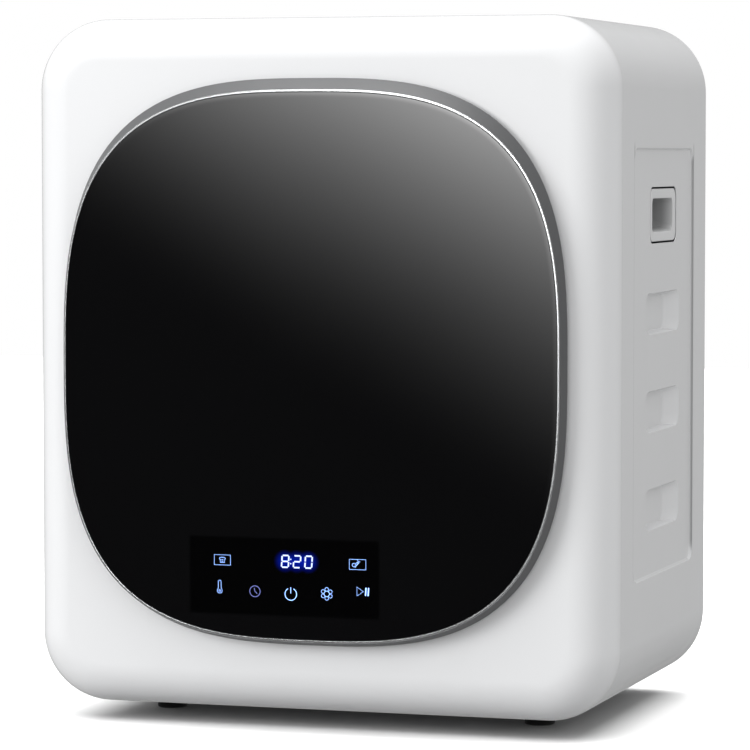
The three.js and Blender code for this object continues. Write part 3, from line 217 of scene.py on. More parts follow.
class StageSettings(bpy.types.PropertyGroup):
    azimuth: FloatProperty(name="Camera turn", description="Turn of the view to the right", default=0.3114,
                           subtype="ANGLE")
    pitch: FloatProperty(name="Camera pitch", description="Downward tilt of the view", default=0.0585,
                         subtype="ANGLE")
    lens: FloatProperty(name="Lens", description="Focal length", default=181.1, unit="CAMERA")
    eye: FloatVectorProperty(name="Camera place", description="Where the camera stands", unit="LENGTH",
                             default=(1.1681, -3.6350, 0.5596))
    key: FloatProperty(name="Key", description="Power of the large front light", default=100, unit="POWER")
    top: FloatProperty(name="Top", description="Power of the overhead light", default=31, unit="POWER")
    sky: FloatProperty(name="Sky", description="Power of the large panel that whitens the floor",
                       default=1700, unit="POWER")
    ambient: FloatProperty(name="Ambient", description="Strength of the even light from above", default=0.88)
    bounce: FloatProperty(name="Bounce", description="Strength of the even light from below", default=0.5)
    room: FloatProperty(name="Room", description="Strength of the room in reflections, in front",
                        default=0.1)
    room_back: FloatProperty(name="Room behind", description="Strength of the room in reflections, behind",
                             default=0.45)
    card: FloatVectorProperty(name="Softbox place", description="Middle of the card that the glass mirrors",
                              unit="LENGTH", default=(-1.0, -3.4, 0.25))
    card_power: FloatProperty(name="Softbox", description="Strength of the card", default=11.5)
    fade_start: FloatProperty(name="Fade start", description="Where the card begins to glow", default=-0.22)


# ---------- finishes ----------


class Value:
    """A shader socket. Arithmetic written on it adds the Math nodes that work it out."""

    def __init__(self, finish, socket):
        self.finish = finish
        self.socket = socket

    def math(self, operation, *others, flip=False):
        terms = [self, *others][::-1] if flip else [self, *others]
        return self.finish.add("ShaderNodeMath", {"operation": operation}, dict(enumerate(terms)))

    def __add__(self, other):
        return self.math("ADD", other)

    def __sub__(self, other):
        return self.math("SUBTRACT", other)

    def __rsub__(self, other):
        return self.math("SUBTRACT", other, flip=True)

    def __mul__(self, other):
        return self.math("MULTIPLY", other)

    def __truediv__(self, other):
        return self.math("DIVIDE", other)

    def __pow__(self, other):
        return self.math("POWER", other)

    def above(self, edge, soft):
        """0 below the edge and 1 above it, with a soft step."""
        return ((self - edge) / soft).math("MAXIMUM", 0).math("MINIMUM", 1)

    __radd__ = __add__
    __rmul__ = __mul__


class Finish:
    """A material being put together on a Principled shader."""

    def __init__(self, name, **fixed):
        self.material = bpy.data.materials.new(name)
        self.material.use_nodes = True
        self.nodes = self.material.node_tree.nodes
        self.links = self.material.node_tree.links
        self.shader = self.nodes["Principled BSDF"]
        for socket, value in fixed.items():
            self.shader.inputs[socket.replace("_", " ")].default_value = value

    def add(self, kind, settings=None, sockets=None, out=0):
        """Adds a node: its settings first, then the values and links of its sockets."""
        node = self.nodes.new(kind)
        for name, value in (settings or {}).items():
            setattr(node, name, value)
        for name, value in (sockets or {}).items():
            if isinstance(value, Value):
                self.links.new(value.socket, node.inputs[name])
            else:
                node.inputs[name].default_value = value
        return Value(self, node.outputs[out])

    def feed(self, **sockets):
        """Links what varies over the surface to the shader."""
        for name, value in sockets.items():
            self.links.new(value.socket, self.shader.inputs[name.replace("_", " ")])

    def place(self, scale=(1, 1, 1)):
        """Object coordinates, stretched."""
        here = self.add("ShaderNodeTexCoord", out="Object")
        return self.add("ShaderNodeMapping", {}, {"Vector": here, "Scale": scale})

    def axes(self):
        here = self.add("ShaderNodeTexCoord", out="Object")
        return [self.add("ShaderNodeSeparateXYZ", {}, {0: here}, out=axis) for axis in "XYZ"]

    def noise(self, scale, detail=2.0, stretch=(1, 1, 1)):
        sockets = {"Vector": self.place(stretch), "Scale": scale, "Detail": detail}
        return self.add("ShaderNodeTexNoise", {}, sockets)

    def blend(self, factor, first, second):
        """A colour between two others."""
        settings = {"data_type": "RGBA"}
        return self.add("ShaderNodeMix", settings, {0: factor, 6: first, 7: second}, out=2)

    def relief(self, height, strength, distance=0.0002):
        """Turns a height pattern into small relief."""
        sockets = {"Height": height, "Strength": strength, "Distance": distance}
        self.feed(Normal=self.add("ShaderNodeBump", {}, sockets))


def shade(rgb, factor=1.0):
    return (*(channel * factor for channel in rgb), 1)


def moulded(name, rgb, rough, grain=900, depth=0.25, dust_and_shade=0.06):
    """Moulded plastic: a fine grain, a little dust in its tone and uneven gloss."""
    finish = Finish(name)
    cloud = finish.noise(7, 4)
    finish.feed(Base_Color=finish.blend(cloud, shade(rgb, 1 - dust_and_shade), shade(rgb, 1 + dust_and_shade / 2)))
    finish.feed(Roughness=rough - 0.04 + 0.08 * finish.noise(30, 3))
    finish.relief(finish.noise(grain, 2), depth)
    return finish.material


def gloss_white(name, rgb, rough, peel, depth, crease_shade_lines=()):
    """Lacquered white with faint orange peel that shows in a highlight, and painted shade in sharp creases.
    """
    finish = Finish(name, Coat_Weight=0.55, Coat_Roughness=0.04, Specular_IOR_Level=0.4)
    tone = finish.blend(finish.noise(4, 3), shade(rgb, 0.985), shade(rgb, 1.01))
    _, back, up = finish.axes()
    # Painted shade: a thin dark line in the colour along each crease of the pressed field.
    for at, low, high in crease_shade_lines:
        near = 1 - ((back - at).math("ABSOLUTE") / CREASE_SHADE_WIDTH).math("MINIMUM", 1)
        within = up.above(low, 0.02) * (1 - up.above(high, 0.006))
        tone = finish.blend(near * within * 0.8, tone, shade(rgb, 0.3))
    finish.feed(Base_Color=tone)
    finish.feed(Roughness=rough + 0.05 * finish.noise(14, 3))
    finish.relief(finish.noise(peel, 2), depth, 0.0001)
    return finish.material


def hollow_white(name, rgb, plane):
    """The hand cup's white plastic, with shade painted into its colour deep in its hollow, darkest towards
    its front.
    """
    finish = Finish(name, Specular_IOR_Level=0.4)
    across, back, _ = finish.axes()
    # Painted shade: the colour darkens with depth in the hollow, most of all at its front end.
    depth = (plane - across.math("ABSOLUTE")).above(0.0022, 0.012)
    front = 1 - (back - ORIGIN.y).above(0.185, 0.075)
    dust_and_shade = depth * (0.55 + 0.45 * front)
    finish.feed(Base_Color=finish.blend(dust_and_shade, shade(rgb), shade(rgb, 0.12)))
    finish.feed(Roughness=0.38 + 0.08 * finish.noise(30, 3))
    finish.relief(finish.noise(900, 2), 0.2)
    return finish.material


def sheet_metal(name, rgb, rough, stretch, grain=700, depth=0.2):
    """Rolled or drawn metal: fine lines one way and a few dull clouds."""
    finish = Finish(name, Metallic=0.85)
    lines = finish.noise(grain, 3, stretch)
    cloud = finish.noise(9, 4)
    finish.feed(Base_Color=finish.blend(lines, shade(rgb, 0.86), shade(rgb, 1.06)))
    finish.feed(Roughness=rough + 0.14 * cloud + 0.08 * lines)
    finish.relief(lines, depth, 0.0001)
    return finish.material


def galvanised(name, rgb):
    """Zinc coated steel with its pale, angular spangle."""
    finish = Finish(name, Metallic=1.0)
    cells = finish.add("ShaderNodeTexVoronoi", {}, {"Vector": finish.place(), "Scale": 95.0}, out="Color")
    tone = finish.add("ShaderNodeRGBToBW", {}, {0: cells})
    finish.feed(Base_Color=finish.blend(tone, shade(rgb, 0.82), shade(rgb, 1.1)))
    finish.feed(Roughness=0.34 + 0.16 * tone + 0.08 * finish.noise(20, 3))
    finish.relief(finish.noise(260, 3), 0.15)
    return finish.material


def cast(name, rgb):
    """Sand cast alloy with a coarse, dull skin."""
    finish = Finish(name, Metallic=1.0)
    skin = finish.noise(420, 5)
    finish.feed(Base_Color=finish.blend(skin, shade(rgb, 0.75), shade(rgb, 1.08)))
    finish.feed(Roughness=0.42 + 0.25 * skin)
    finish.relief(skin, 0.5, 0.0004)
    return finish.material


def felted(name, rgb):
    """Pressed wool: short tangled fibres."""
    finish = Finish(name, Sheen_Weight=0.5, Sheen_Roughness=0.6)
    fibre = finish.noise(1400, 6, (1, 0.35, 1))
    finish.feed(Base_Color=finish.blend(fibre, shade(rgb, 0.62), shade(rgb, 1.15)))
    finish.feed(Roughness=0.86 + 0.12 * fibre)
    finish.relief(fibre, 0.8, 0.0006)
    return finish.material


def printed_board(name):
    """Green solder mask, paler over its grid of copper tracks."""
    finish = Finish(name, Specular_IOR_Level=0.5)
    tracks = finish.add("ShaderNodeTexBrick", {"offset": 0.35}, {
        "Vector": finish.place(),
        "Scale": 60.0,
        "Mortar Size": 0.03,
        "Color1": (0.01, 0.10, 0.035, 1),
        "Color2": (0.012, 0.13, 0.045, 1),
        "Mortar": (0.03, 0.22, 0.08, 1),
    })
    finish.feed(Base_Color=tracks, Roughness=0.32 + 0.12 * finish.noise(80, 2))
    finish.relief(finish.noise(500, 2), 0.2)
    return finish.material


def door_glass(name, tint, glow):
    """Black backed glass, darker in the display's window, with blue light that spreads from the digits."""
    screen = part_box("display_board")[0].lerp(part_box("display_board")[1], 0.5)
    finish = Finish(name, Coat_Weight=0.0, Specular_IOR_Level=0.62, IOR=1.52)
    across, _, up = finish.axes()
    window = window_mask(across, up, screen)
    finish.feed(Base_Color=finish.blend(window, shade(tint), shade(tint, 0.35)))
    finish.feed(Roughness=0.035 + 0.03 * finish.noise(11, 4))
    halo = 0
    for _, offset in DIGITS:
        middle = (screen.x + offset / 1000, screen.z + DIGIT_LINE / 1000)
        far = ((across - middle[0]) / HALO_REACH) ** 2 + ((up - middle[1]) / HALO_REACH) ** 2
        halo = halo + 0.3 * (1 - far).math("MAXIMUM", 0) ** 2
    dark = (0, 0, 0, 1)
    finish.feed(Emission_Color=finish.blend(halo.math("MINIMUM", 1), dark, shade(glow)))
    finish.shader.inputs["Emission Strength"].default_value = 1.0
    return finish.material


def window_mask(across, up, screen):
    """1 inside the display's window, with a soft edge."""
    soft = 0.003
    left, right, low, high = WINDOW_SIDES
    inside = across.above(screen.x + left, soft) * (1 - across.above(screen.x + right, soft))
    return inside * up.above(screen.z + low, soft) * (1 - up.above(screen.z + high, soft))


def lit(name, rgb, strength):
    """A lit mark: its light is a little uneven, as behind a diffuser."""
    finish = Finish(name, Roughness=0.4)
    finish.shader.inputs["Base Color"].default_value = (0.01, 0.01, 0.02, 1)
    finish.shader.inputs["Emission Strength"].default_value = strength
    finish.feed(Emission_Color=finish.blend(finish.noise(260, 2), shade(rgb, 0.85), shade(rgb, 1.1)))
    return finish.material


# The finishes by name, filled by make_finishes.
MADE = {}


def make_finishes(colours, cabinet):
    # Where painted shade darkens the steel: just inside each crease of the field, between its bottom and
    # top.
    crease_shade_lines = [(ORIGIN.y + depth, ORIGIN.z + cabinet.field_bottom, ORIGIN.z + cabinet.field_top)
               for depth in (cabinet.field_front + 0.001, cabinet.field_back - 0.001)]
    MADE.update({
        "gloss_white_shell": gloss_white("gloss_white_shell", colours.shell, 0.13, 260, 0.05),
        "painted_white_steel": gloss_white("painted_white_steel", colours.steel, 0.2, 420, 0.12, crease_shade_lines),
        "cup_plastic": hollow_white("cup_plastic", (0.78, 0.785, 0.79), WRAP[1].x),
        "soft_white_plastic": moulded("soft_white_plastic", (0.72, 0.725, 0.735), 0.42),
        "black_glass": door_glass("black_glass", (0.0035, 0.0035, 0.0038), colours.glow),
        "silver_trim": sheet_metal("silver_trim", colours.silver, 0.12, (1, 1, 12), 300, 0.05),
        "dark_grey_frame": moulded("dark_grey_frame", colours.band, 0.5, 1100, 0.15),
        "mid_grey_plastic": moulded("mid_grey_plastic", (0.27, 0.28, 0.295), 0.44, 1000, 0.3),
        "black_plastic": moulded("black_plastic", (0.012, 0.012, 0.013), 0.45, 800, 0.3),
        "black_rubber": moulded("black_rubber", (0.010, 0.010, 0.010), 0.74, 500, 0.5, 0.2),
        "stainless_steel": sheet_metal("stainless_steel", (0.60, 0.605, 0.615), 0.2, (1, 30, 1)),
        "zinc_steel": galvanised("zinc_steel", (0.50, 0.515, 0.53)),
        "cast_alloy": cast("cast_alloy", (0.44, 0.445, 0.455)),
        "wool_felt": felted("wool_felt", (0.38, 0.36, 0.32)),
        "circuit_board": printed_board("circuit_board"),
        "filter_mesh": moulded("filter_mesh", (0.30, 0.31, 0.33), 0.6, 2200, 0.9, 0.25),
        "lit_digits": lit("lit_digits", (0.62, 0.72, 1.0), 1.6),
        "lit_icons": lit("lit_icons", colours.light, 3.3),
        "dim_icons": lit("dim_icons", (0.3, 0.34, 0.9), 0.95),
    })


def dress_frame():
    """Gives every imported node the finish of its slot."""
    for entry in frame["record"]["subparts"]:
        node = frame["nodes"][entry["node"]]
        node.data.materials.clear()
        node.data.materials.append(MADE[entry["material_slot"]])


# ---------- mesh tools ----------


def settle(bm, merge=1e-6):
    """Merges doubled corners and turns the faces outwards."""
    bmesh.ops.remove_doubles(bm, verts=bm.verts, dist=merge)
    bmesh.ops.dissolve_degenerate(bm, edges=bm.edges, dist=merge)
    bmesh.ops.recalc_face_normals(bm, faces=bm.faces)


def stand_in(bm):
    mesh = bpy.data.meshes.new("work")
    bm.to_mesh(mesh)
    work = bpy.data.objects.new("work", mesh)
    bpy.context.scene.collection.objects.link(work)
    return work


def worked(bm, kind, tool=None, **settings):
    """Runs one modifier on a bmesh, with a second bmesh as its tool where it takes one."""
    work = stand_in(bm)
    modifier = work.modifiers.new(kind, kind)
    for name, value in settings.items():
        setattr(modifier, name, value)
    helpers = [work]
    if tool:
        modifier.object = stand_in(tool)
        helpers.append(modifier.object)
        tool.free()
    depsgraph = bpy.context.evaluated_depsgraph_get()
    result = bpy.data.meshes.new_from_object(work.evaluated_get(depsgraph))
    bm.clear()
    bm.from_mesh(result)
    bpy.data.meshes.remove(result)
    for helper in helpers:
        bpy.data.meshes.remove(helper.data)
    return bm


def thickened(bm, wall):
    """Gives a sheet its wall, on the inner side."""
    return worked(bm, "SOLIDIFY", thickness=wall, offset=-1, use_even_offset=True)


def carved(bm, cutters):
    """Takes the cutters' space out of a closed solid."""
    return worked(bm, "BOOLEAN", tool=cutters, operation="DIFFERENCE", solver="EXACT")


def finished(bm, name, body, slot, replaces=(), sharp=32, edge=0.0, finish=None):
    """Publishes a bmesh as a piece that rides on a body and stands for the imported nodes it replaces."""
    bmesh.ops.translate(bm, verts=bm.verts, vec=ORIGIN)
    mesh = bpy.data.meshes.new(name)
    bm.to_mesh(mesh)
    bm.free()
    mesh.shade_smooth()
    mesh.set_sharp_from_angle(angle=math.radians(sharp))
    mesh.materials.append(MADE[finish or slot])
    piece = bpy.data.objects.new(name, mesh)
    bpy.context.scene.collection.objects.link(piece)
    if edge:
        rounding = piece.modifiers.new("edges", "BEVEL")
        rounding.width = edge
        rounding.segments = 2
        rounding.limit_method = "ANGLE"
        rounding.angle_limit = math.radians(sharp)
        rounding.harden_normals = False
    weighted = piece.modifiers.new("shading", "WEIGHTED_NORMAL")
    weighted.weight = 90
    weighted.keep_sharp = True
    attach(piece, body)
    if replaces:
        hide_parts(*replaces)
    return piece


def rounded_loop(bm, size, radius, centre=(0, 0), level=0, segments=8):
    """A rounded rectangle of edges, made by rounding the corners of one face."""
    known = set(bm.edges)
    place = Matrix.Translation((*centre, level)) @ Matrix.Diagonal((*size, 1, 1))
    made = bmesh.ops.create_grid(bm, x_segments=1, y_segments=1, size=0.5, matrix=place)
    bmesh.ops.bevel(bm, geom=made["verts"], offset=radius, segments=segments, profile=0.5, material=-1,
                    affect="VERTICES")
    edges = [edge for edge in bm.edges if edge not in known]
    faces = {face for edge in edges for face in edge.link_faces}
    bmesh.ops.delete(bm, geom=list(faces), context="FACES_ONLY")
    return edges


def round_loop(bm, radius, centre=(0, 0), level=0, segments=96):
    place = Matrix.Translation((*centre, level))
    made = bmesh.ops.create_circle(bm, segments=segments, radius=radius, matrix=place)
    return list({edge for vert in made["verts"] for edge in vert.link_edges})


def carried(bm, loop, start, rings):
    """Draws a loop of edges on through rings and returns the last.

    A ring, and the start, is (width, height, centre x, centre y, level).
    """
    width, height, x, y, level = start
    for ring in rings:
        made = bmesh.ops.extrude_edge_only(bm, edges=loop)["geom"]
        verts = {part for part in made if isinstance(part, bmesh.types.BMVert)}
        loop = [part for part in made if isinstance(part, bmesh.types.BMEdge) and set(part.verts) <= verts]
        about = Matrix.Translation((-x, -y, 0))
        bmesh.ops.scale(bm, verts=list(verts), vec=(ring[0] / width, ring[1] / height, 1), space=about)
        shift = (ring[2] - x, ring[3] - y, ring[4] - level)
        bmesh.ops.translate(bm, verts=list(verts), vec=shift)
        width, height, x, y, level = ring
    return loop


def filled(bm, *loops):
    """Fills the flat space between loops of edges."""
    bmesh.ops.triangle_fill(bm, use_beauty=True, edges=[edge for loop in loops for edge in loop])


def spun(bm, profile, steps, ring=True, centre=(0, 0)):
    """Turns a profile of (radius, depth) points once round Y."""
    corners = [bm.verts.new((radius, depth, 0)) for radius, depth in profile]
    pairs = list(zip(corners, corners[1:])) + ([(corners[-1], corners[0])] if ring else [])
    edges = [bm.edges.new(pair) for pair in pairs]
    bmesh.ops.spin(bm, geom=corners + edges, cent=(0, 0, 0), axis=(0, 1, 0), angle=math.tau, steps=steps,
                   use_merge=True)
    settle(bm)
    bmesh.ops.translate(bm, verts=bm.verts, vec=(centre[0], 0, centre[1]))
    return bm


def softened(profile, radius, steps=4):
    """Rounds every corner of a closed profile of points."""
    points = [Vector(point) for point in profile]
    out = []
    for before, here, after in zip(points[-1:] + points[:-1], points, points[1:] + points[:1]):
        reach = min(radius, (before - here).length * 0.45, (after - here).length * 0.45)
        first = here + (before - here).normalized() * reach
        last = here + (after - here).normalized() * reach
        for step in range(steps + 1):
            share = step / steps
            out.append(first.lerp(here, share).lerp(here.lerp(last, share), share).to_tuple())
    return out


def block(bm, low, high):
    """A box from its lowest to its highest corner."""
    middle = (Vector(low) + Vector(high)) / 2
    size = Vector(high) - Vector(low)
    bmesh.ops.create_cube(bm, size=1, matrix=Matrix.Translation(middle) @ Matrix.Diagonal((*size, 1)))


def turned_to(bm, facing, offset=(0, 0, 0)):
    bmesh.ops.transform(bm, matrix=Matrix.Translation(offset) @ facing, verts=bm.verts)


def absorbed(bm, other):
    """Adds another bmesh's parts to this one."""
    mesh = bpy.data.meshes.new("part")
    other.to_mesh(mesh)
    other.free()
    bm.from_mesh(mesh)
    bpy.data.meshes.remove(mesh)


def faced(bm, toward):
    """Turns a sheet's faces the same way, towards a side."""
    settle(bm)
    total = sum((face.normal * face.calc_area() for face in bm.faces), Vector())
    if total.dot(Vector(toward)) < 0:
        bmesh.ops.reverse_faces(bm, faces=bm.faces)


def press_rings(size, centre, level, slope, drop):
    """The rings of a press that slopes evenly on all sides."""
    return [(size[0] - 2 * slope * share, size[1] - 2 * slope * share, *centre, level - drop * fall)
            for share, fall in PRESS_CURVE]


# ---------- cabinet ----------


def make_shell(cabinet):
    """The front shell: rounded, open behind, with its mouth and two slots for the hinge arms."""
    low, high = spot("front_shell")
    bm = bmesh.new()
    block(bm, (low.x, low.z, -high.y), (high.x, high.z, 0))
    long_edges = [edge for edge in bm.edges if abs(edge.verts[0].co.z - edge.verts[1].co.z) > cabinet.fillet]
    bmesh.ops.bevel(bm, geom=long_edges, offset=cabinet.corner, segments=cabinet.steps, profile=0.5,
                    affect="EDGES", material=-1)
    rim = [edge for edge in bm.edges if all(vert.co.z > -1e-6 for vert in edge.verts)]
    bmesh.ops.bevel(bm, geom=rim, offset=cabinet.fillet, segments=cabinet.steps, profile=0.5, affect="EDGES",
                    material=-1, loop_slide=True)
    back = [face for face in bm.faces if all(vert.co.z < -high.y + 1e-6 for vert in face.verts)]
    flat = [face for face in bm.faces if all(vert.co.z > -1e-6 for vert in face.verts)]
    bmesh.ops.delete(bm, geom=back + flat, context="FACES_ONLY")
    edge_loop = [edge for edge in bm.edges if all(vert.co.z > -1e-6 for vert in edge.verts)]
    mouth = round_loop(bm, spot("mouth_ring")[1].x - cabinet.mouth_lap, (0, middle_of("drum").z))
    filled(bm, edge_loop, mouth)
    faced(bm, (0, 0, 1))
    turned_to(bm, FACING_FRONT)
    thickened(bm, cabinet.shell_wall)
    cutters = bmesh.new()
    pin = middle_of("hinge_pin")
    for side in (-1, 1):
        up = pin.z + side * cabinet.arm_spread
        block(cutters, (pin.x - ARM_SLOT[0], -0.002, up - ARM_SLOT[1]),
              (pin.x + ARM_SLOT[0], 0.006, up + ARM_SLOT[1]))
    carved(bm, cutters)
    finished(bm, "front_shell_moulding", "root", "gloss_white_shell", ("front_shell",), sharp=40)


def pressed_side(cabinet):
    """The flat of one side with its pressed field, its pockets and the hand cup's window."""
    low, high = WRAP
    bm = bmesh.new()
    span = (high.y - low.y, high.z - 2 * cabinet.corner)
    place = Matrix.Translation(((low.y + high.y) / 2, high.z / 2, 0)) @ Matrix.Diagonal((*span, 1, 1))
    made = bmesh.ops.create_grid(bm, x_segments=1, y_segments=1, size=0.5, matrix=place)
    border = list({edge for vert in made["verts"] for edge in vert.link_edges})
    bmesh.ops.delete(bm, geom=bm.faces[:], context="FACES_ONLY")
    size = (cabinet.field_back - cabinet.field_front, cabinet.field_top - cabinet.field_bottom)
    centre = ((cabinet.field_back + cabinet.field_front) / 2, (cabinet.field_top + cabinet.field_bottom) / 2)
    field = rounded_loop(bm, size, FIELD_CORNER, centre)
    filled(bm, border, field)
    slope = press_rings(size, centre, 0, FIELD_SLOPE, cabinet.field_drop)
    floor = carried(bm, field, (*size, *centre, 0), slope)
    cup_low, cup_high = spot("handle_cup_right")
    cup_centre = (cabinet.middle, (cup_low.z + cup_high.z) / 2)
    window_size = (cabinet.cup_length + 2 * cabinet.cup_gap, cabinet.cup_height + 2 * cabinet.cup_gap)
    window = rounded_loop(bm, window_size, CUP_WINDOW_CORNER, cup_centre, -cabinet.field_drop)
    starts = []
    for step in range(POCKETS):
        up = cabinet.pocket_low + step * (cup_centre[1] - cabinet.pocket_low) / POCKETS
        pocket = (cabinet.pocket_length, cabinet.pocket_height, cabinet.middle, up, -cabinet.field_drop)
        starts.append((rounded_loop(bm, pocket[:2], POCKET_CORNER, pocket[2:4], pocket[4]), pocket))
    filled(bm, floor, window, *(loop for loop, _ in starts))
    carried(bm, window, (*window_size, *cup_centre, -cabinet.field_drop),
            [(window_size[0] - 0.0003, window_size[1] - 0.0003, *cup_centre, -cabinet.field_drop - 0.0008)])
    for loop, pocket in starts:
        filled(bm, carried(bm, loop, pocket, pocket_rings(cabinet, pocket)))
    turned_to(bm, FACING_RIGHT, (high.x, 0, 0))
    return bm


def pocket_rings(cabinet, pocket):
    """A pocket's floor keeps close to its front edge, so that a long ramp leads out towards the back."""
    width, height, x, y, level = pocket
    return [(width - POCKET_TAPER[0] * share, height - POCKET_TAPER[1] * share, x - POCKET_LEAN * share, y,
             level - cabinet.pocket_drop * fall) for share, fall in POCKET_CURVE]


def make_wrap(cabinet):
    """The wrap: half of the top and a corner mirrored down, joined to a pressed side and mirrored across."""
    low, high = WRAP
    bm = bmesh.new()
    ends = [bm.verts.new((0, depth, high.z)) for depth in (low.y, high.y)]
    start = bm.edges.new(ends)
    made = bmesh.ops.extrude_edge_only(bm, edges=[start])["geom"]
    verts = [part for part in made if isinstance(part, bmesh.types.BMVert)]
    bmesh.ops.translate(bm, verts=verts, vec=(high.x - cabinet.corner, 0, 0))
    last = [edge for edge in bm.edges if set(edge.verts) == set(verts)]
    bmesh.ops.spin(bm, geom=verts + last, cent=(high.x - cabinet.corner, 0, high.z - cabinet.corner),
                   axis=(0, 1, 0), angle=math.pi / 2, steps=cabinet.steps)
    bmesh.ops.translate(bm, verts=bm.verts, vec=(0, 0, -high.z / 2))
    bmesh.ops.mirror(bm, geom=bm.verts[:] + bm.edges[:] + bm.faces[:], axis="Z", merge_dist=1e-6)
    bmesh.ops.translate(bm, verts=bm.verts, vec=(0, 0, high.z / 2))
    absorbed(bm, pressed_side(cabinet))
    bmesh.ops.mirror(bm, geom=bm.verts[:] + bm.edges[:] + bm.faces[:], axis="X", merge_dist=1e-6)
    settle(bm)
    thickened(bm, cabinet.sheet)
    absorbed(bm, back_flange(cabinet))
    finished(bm, "cabinet_wrap_pressing", "root", "painted_white_steel", ("cabinet_wrap",), sharp=40)


def back_flange(cabinet):
    """The flange that the rear cover is screwed to, folded in from the wrap's back edge."""
    _, high = WRAP
    bm = bmesh.new()
    centre = (0, high.z / 2)
    inset = cabinet.sheet + 0.0001
    outer = (2 * (high.x - inset), high.z - 2 * inset)
    inner = (outer[0] - 2 * cabinet.flange, outer[1] - 2 * cabinet.flange)
    rim = rounded_loop(bm, outer, cabinet.corner - inset, centre, segments=cabinet.steps)
    hole = rounded_loop(bm, inner, cabinet.corner - inset - cabinet.flange, centre, segments=cabinet.steps)
    filled(bm, rim, hole)
    faced(bm, (0, 0, 1))
    turned_to(bm, FACING_BACK, (0, high.y - 0.0024, 0))
    return thickened(bm, cabinet.sheet)


def make_hand_cup(cabinet, side, node):
    """A hand cup: a flat rim with a soft edge, and a hollow whose floor sits a little above its mouth."""
    low, high = spot(node)
    centre = (cabinet.middle, (low.z + high.z) / 2)
    rim = (cabinet.cup_length - 0.0062, cabinet.cup_height - 0.0034)
    mouth = (0.087, 0.034)
    mouth_centre = (centre[0] - 0.0025, centre[1])
    bm = bmesh.new()
    face = rounded_loop(bm, rim, 0.0085, centre)
    hollow = rounded_loop(bm, mouth, 0.006, mouth_centre)
    filled(bm, face, hollow)
    carried(bm, face, (*rim, *centre, 0), [
        (rim[0] + 0.0009, rim[1] + 0.0009, *centre, -0.00025),
        (rim[0] + 0.0014, rim[1] + 0.0014, *centre, -0.0009),
        (rim[0] + 0.0014, rim[1] + 0.0014, *centre, -0.0016),
    ])
    x, y = mouth_centre
    deep = low.x - high.x + 0.0025
    rings = [
        (mouth[0] - 0.0009, mouth[1] - 0.0009, x, y, -0.0003),
        (mouth[0] - 0.0014, mouth[1] - 0.0014, x, y, -0.0012),
        (mouth[0] - 0.004, mouth[1] - 0.009, x, y + 0.003, deep + 0.004),
        (mouth[0] - 0.007, mouth[1] - 0.012, x, y + 0.003, deep + 0.0012),
        (mouth[0] - 0.012, mouth[1] - 0.016, x, y + 0.003, deep),
    ]
    filled(bm, carried(bm, hollow, (*mouth, *mouth_centre, 0), rings))
    faced(bm, (0, 0, 1))
    thickened(bm, CUP_WALL)
    turned_to(bm, FACING_RIGHT, (max(abs(low.x), abs(high.x)) - 0.0002, 0, 0))
    if side < 0:
        bmesh.ops.scale(bm, vec=(-1, 1, 1), verts=bm.verts)
        bmesh.ops.reverse_faces(bm, faces=bm.faces)
    finished(bm, f"{node}_moulding", "root", "soft_white_plastic", (node,), sharp=40, finish="cup_plastic")


def make_foot(node):
    """A rubber foot: a plug with a groove above its wider base, and a hollow sole."""
    low, high = spot(node)
    radius = (high.x - low.x) / 2
    bottom = low.z
    top = -0.0003
    profile = [
        (0.0, top), (radius - 0.0020, top), (radius - 0.0014, -0.0045), (radius - 0.0028, -0.0052),
        (radius - 0.0027, -0.0062), (radius - 0.0011, -0.0069), (radius, bottom + 0.0016),
        (radius - 0.0004, bottom + 0.0005), (radius - 0.0016, bottom), (radius - 0.0045, bottom),
        (radius - 0.0055, bottom + 0.0022), (0.0, bottom + 0.0022),
    ]
    bm = spun(bmesh.new(), profile, 48, ring=False)
    turned_to(bm, Matrix.Rotation(math.pi / 2, 4, "X"), ((low.x + high.x) / 2, (low.y + high.y) / 2, 0))
    finished(bm, f"{node}_rubber", "root", "black_rubber", (node,), sharp=50, edge=0.0002)


# ---------- back ----------


def screw_spots(cabinet):
    """Where the rear cover's screws go through the wrap's flange, across and up."""
    _, high = WRAP
    inset = cabinet.sheet + cabinet.flange / 2
    side = high.x - inset
    heights = (cabinet.corner + 0.02, high.z - cabinet.corner - 0.02)
    return [(x, z) for z in heights for x in (-side, side)] + [(0, inset), (0, high.z - inset)]


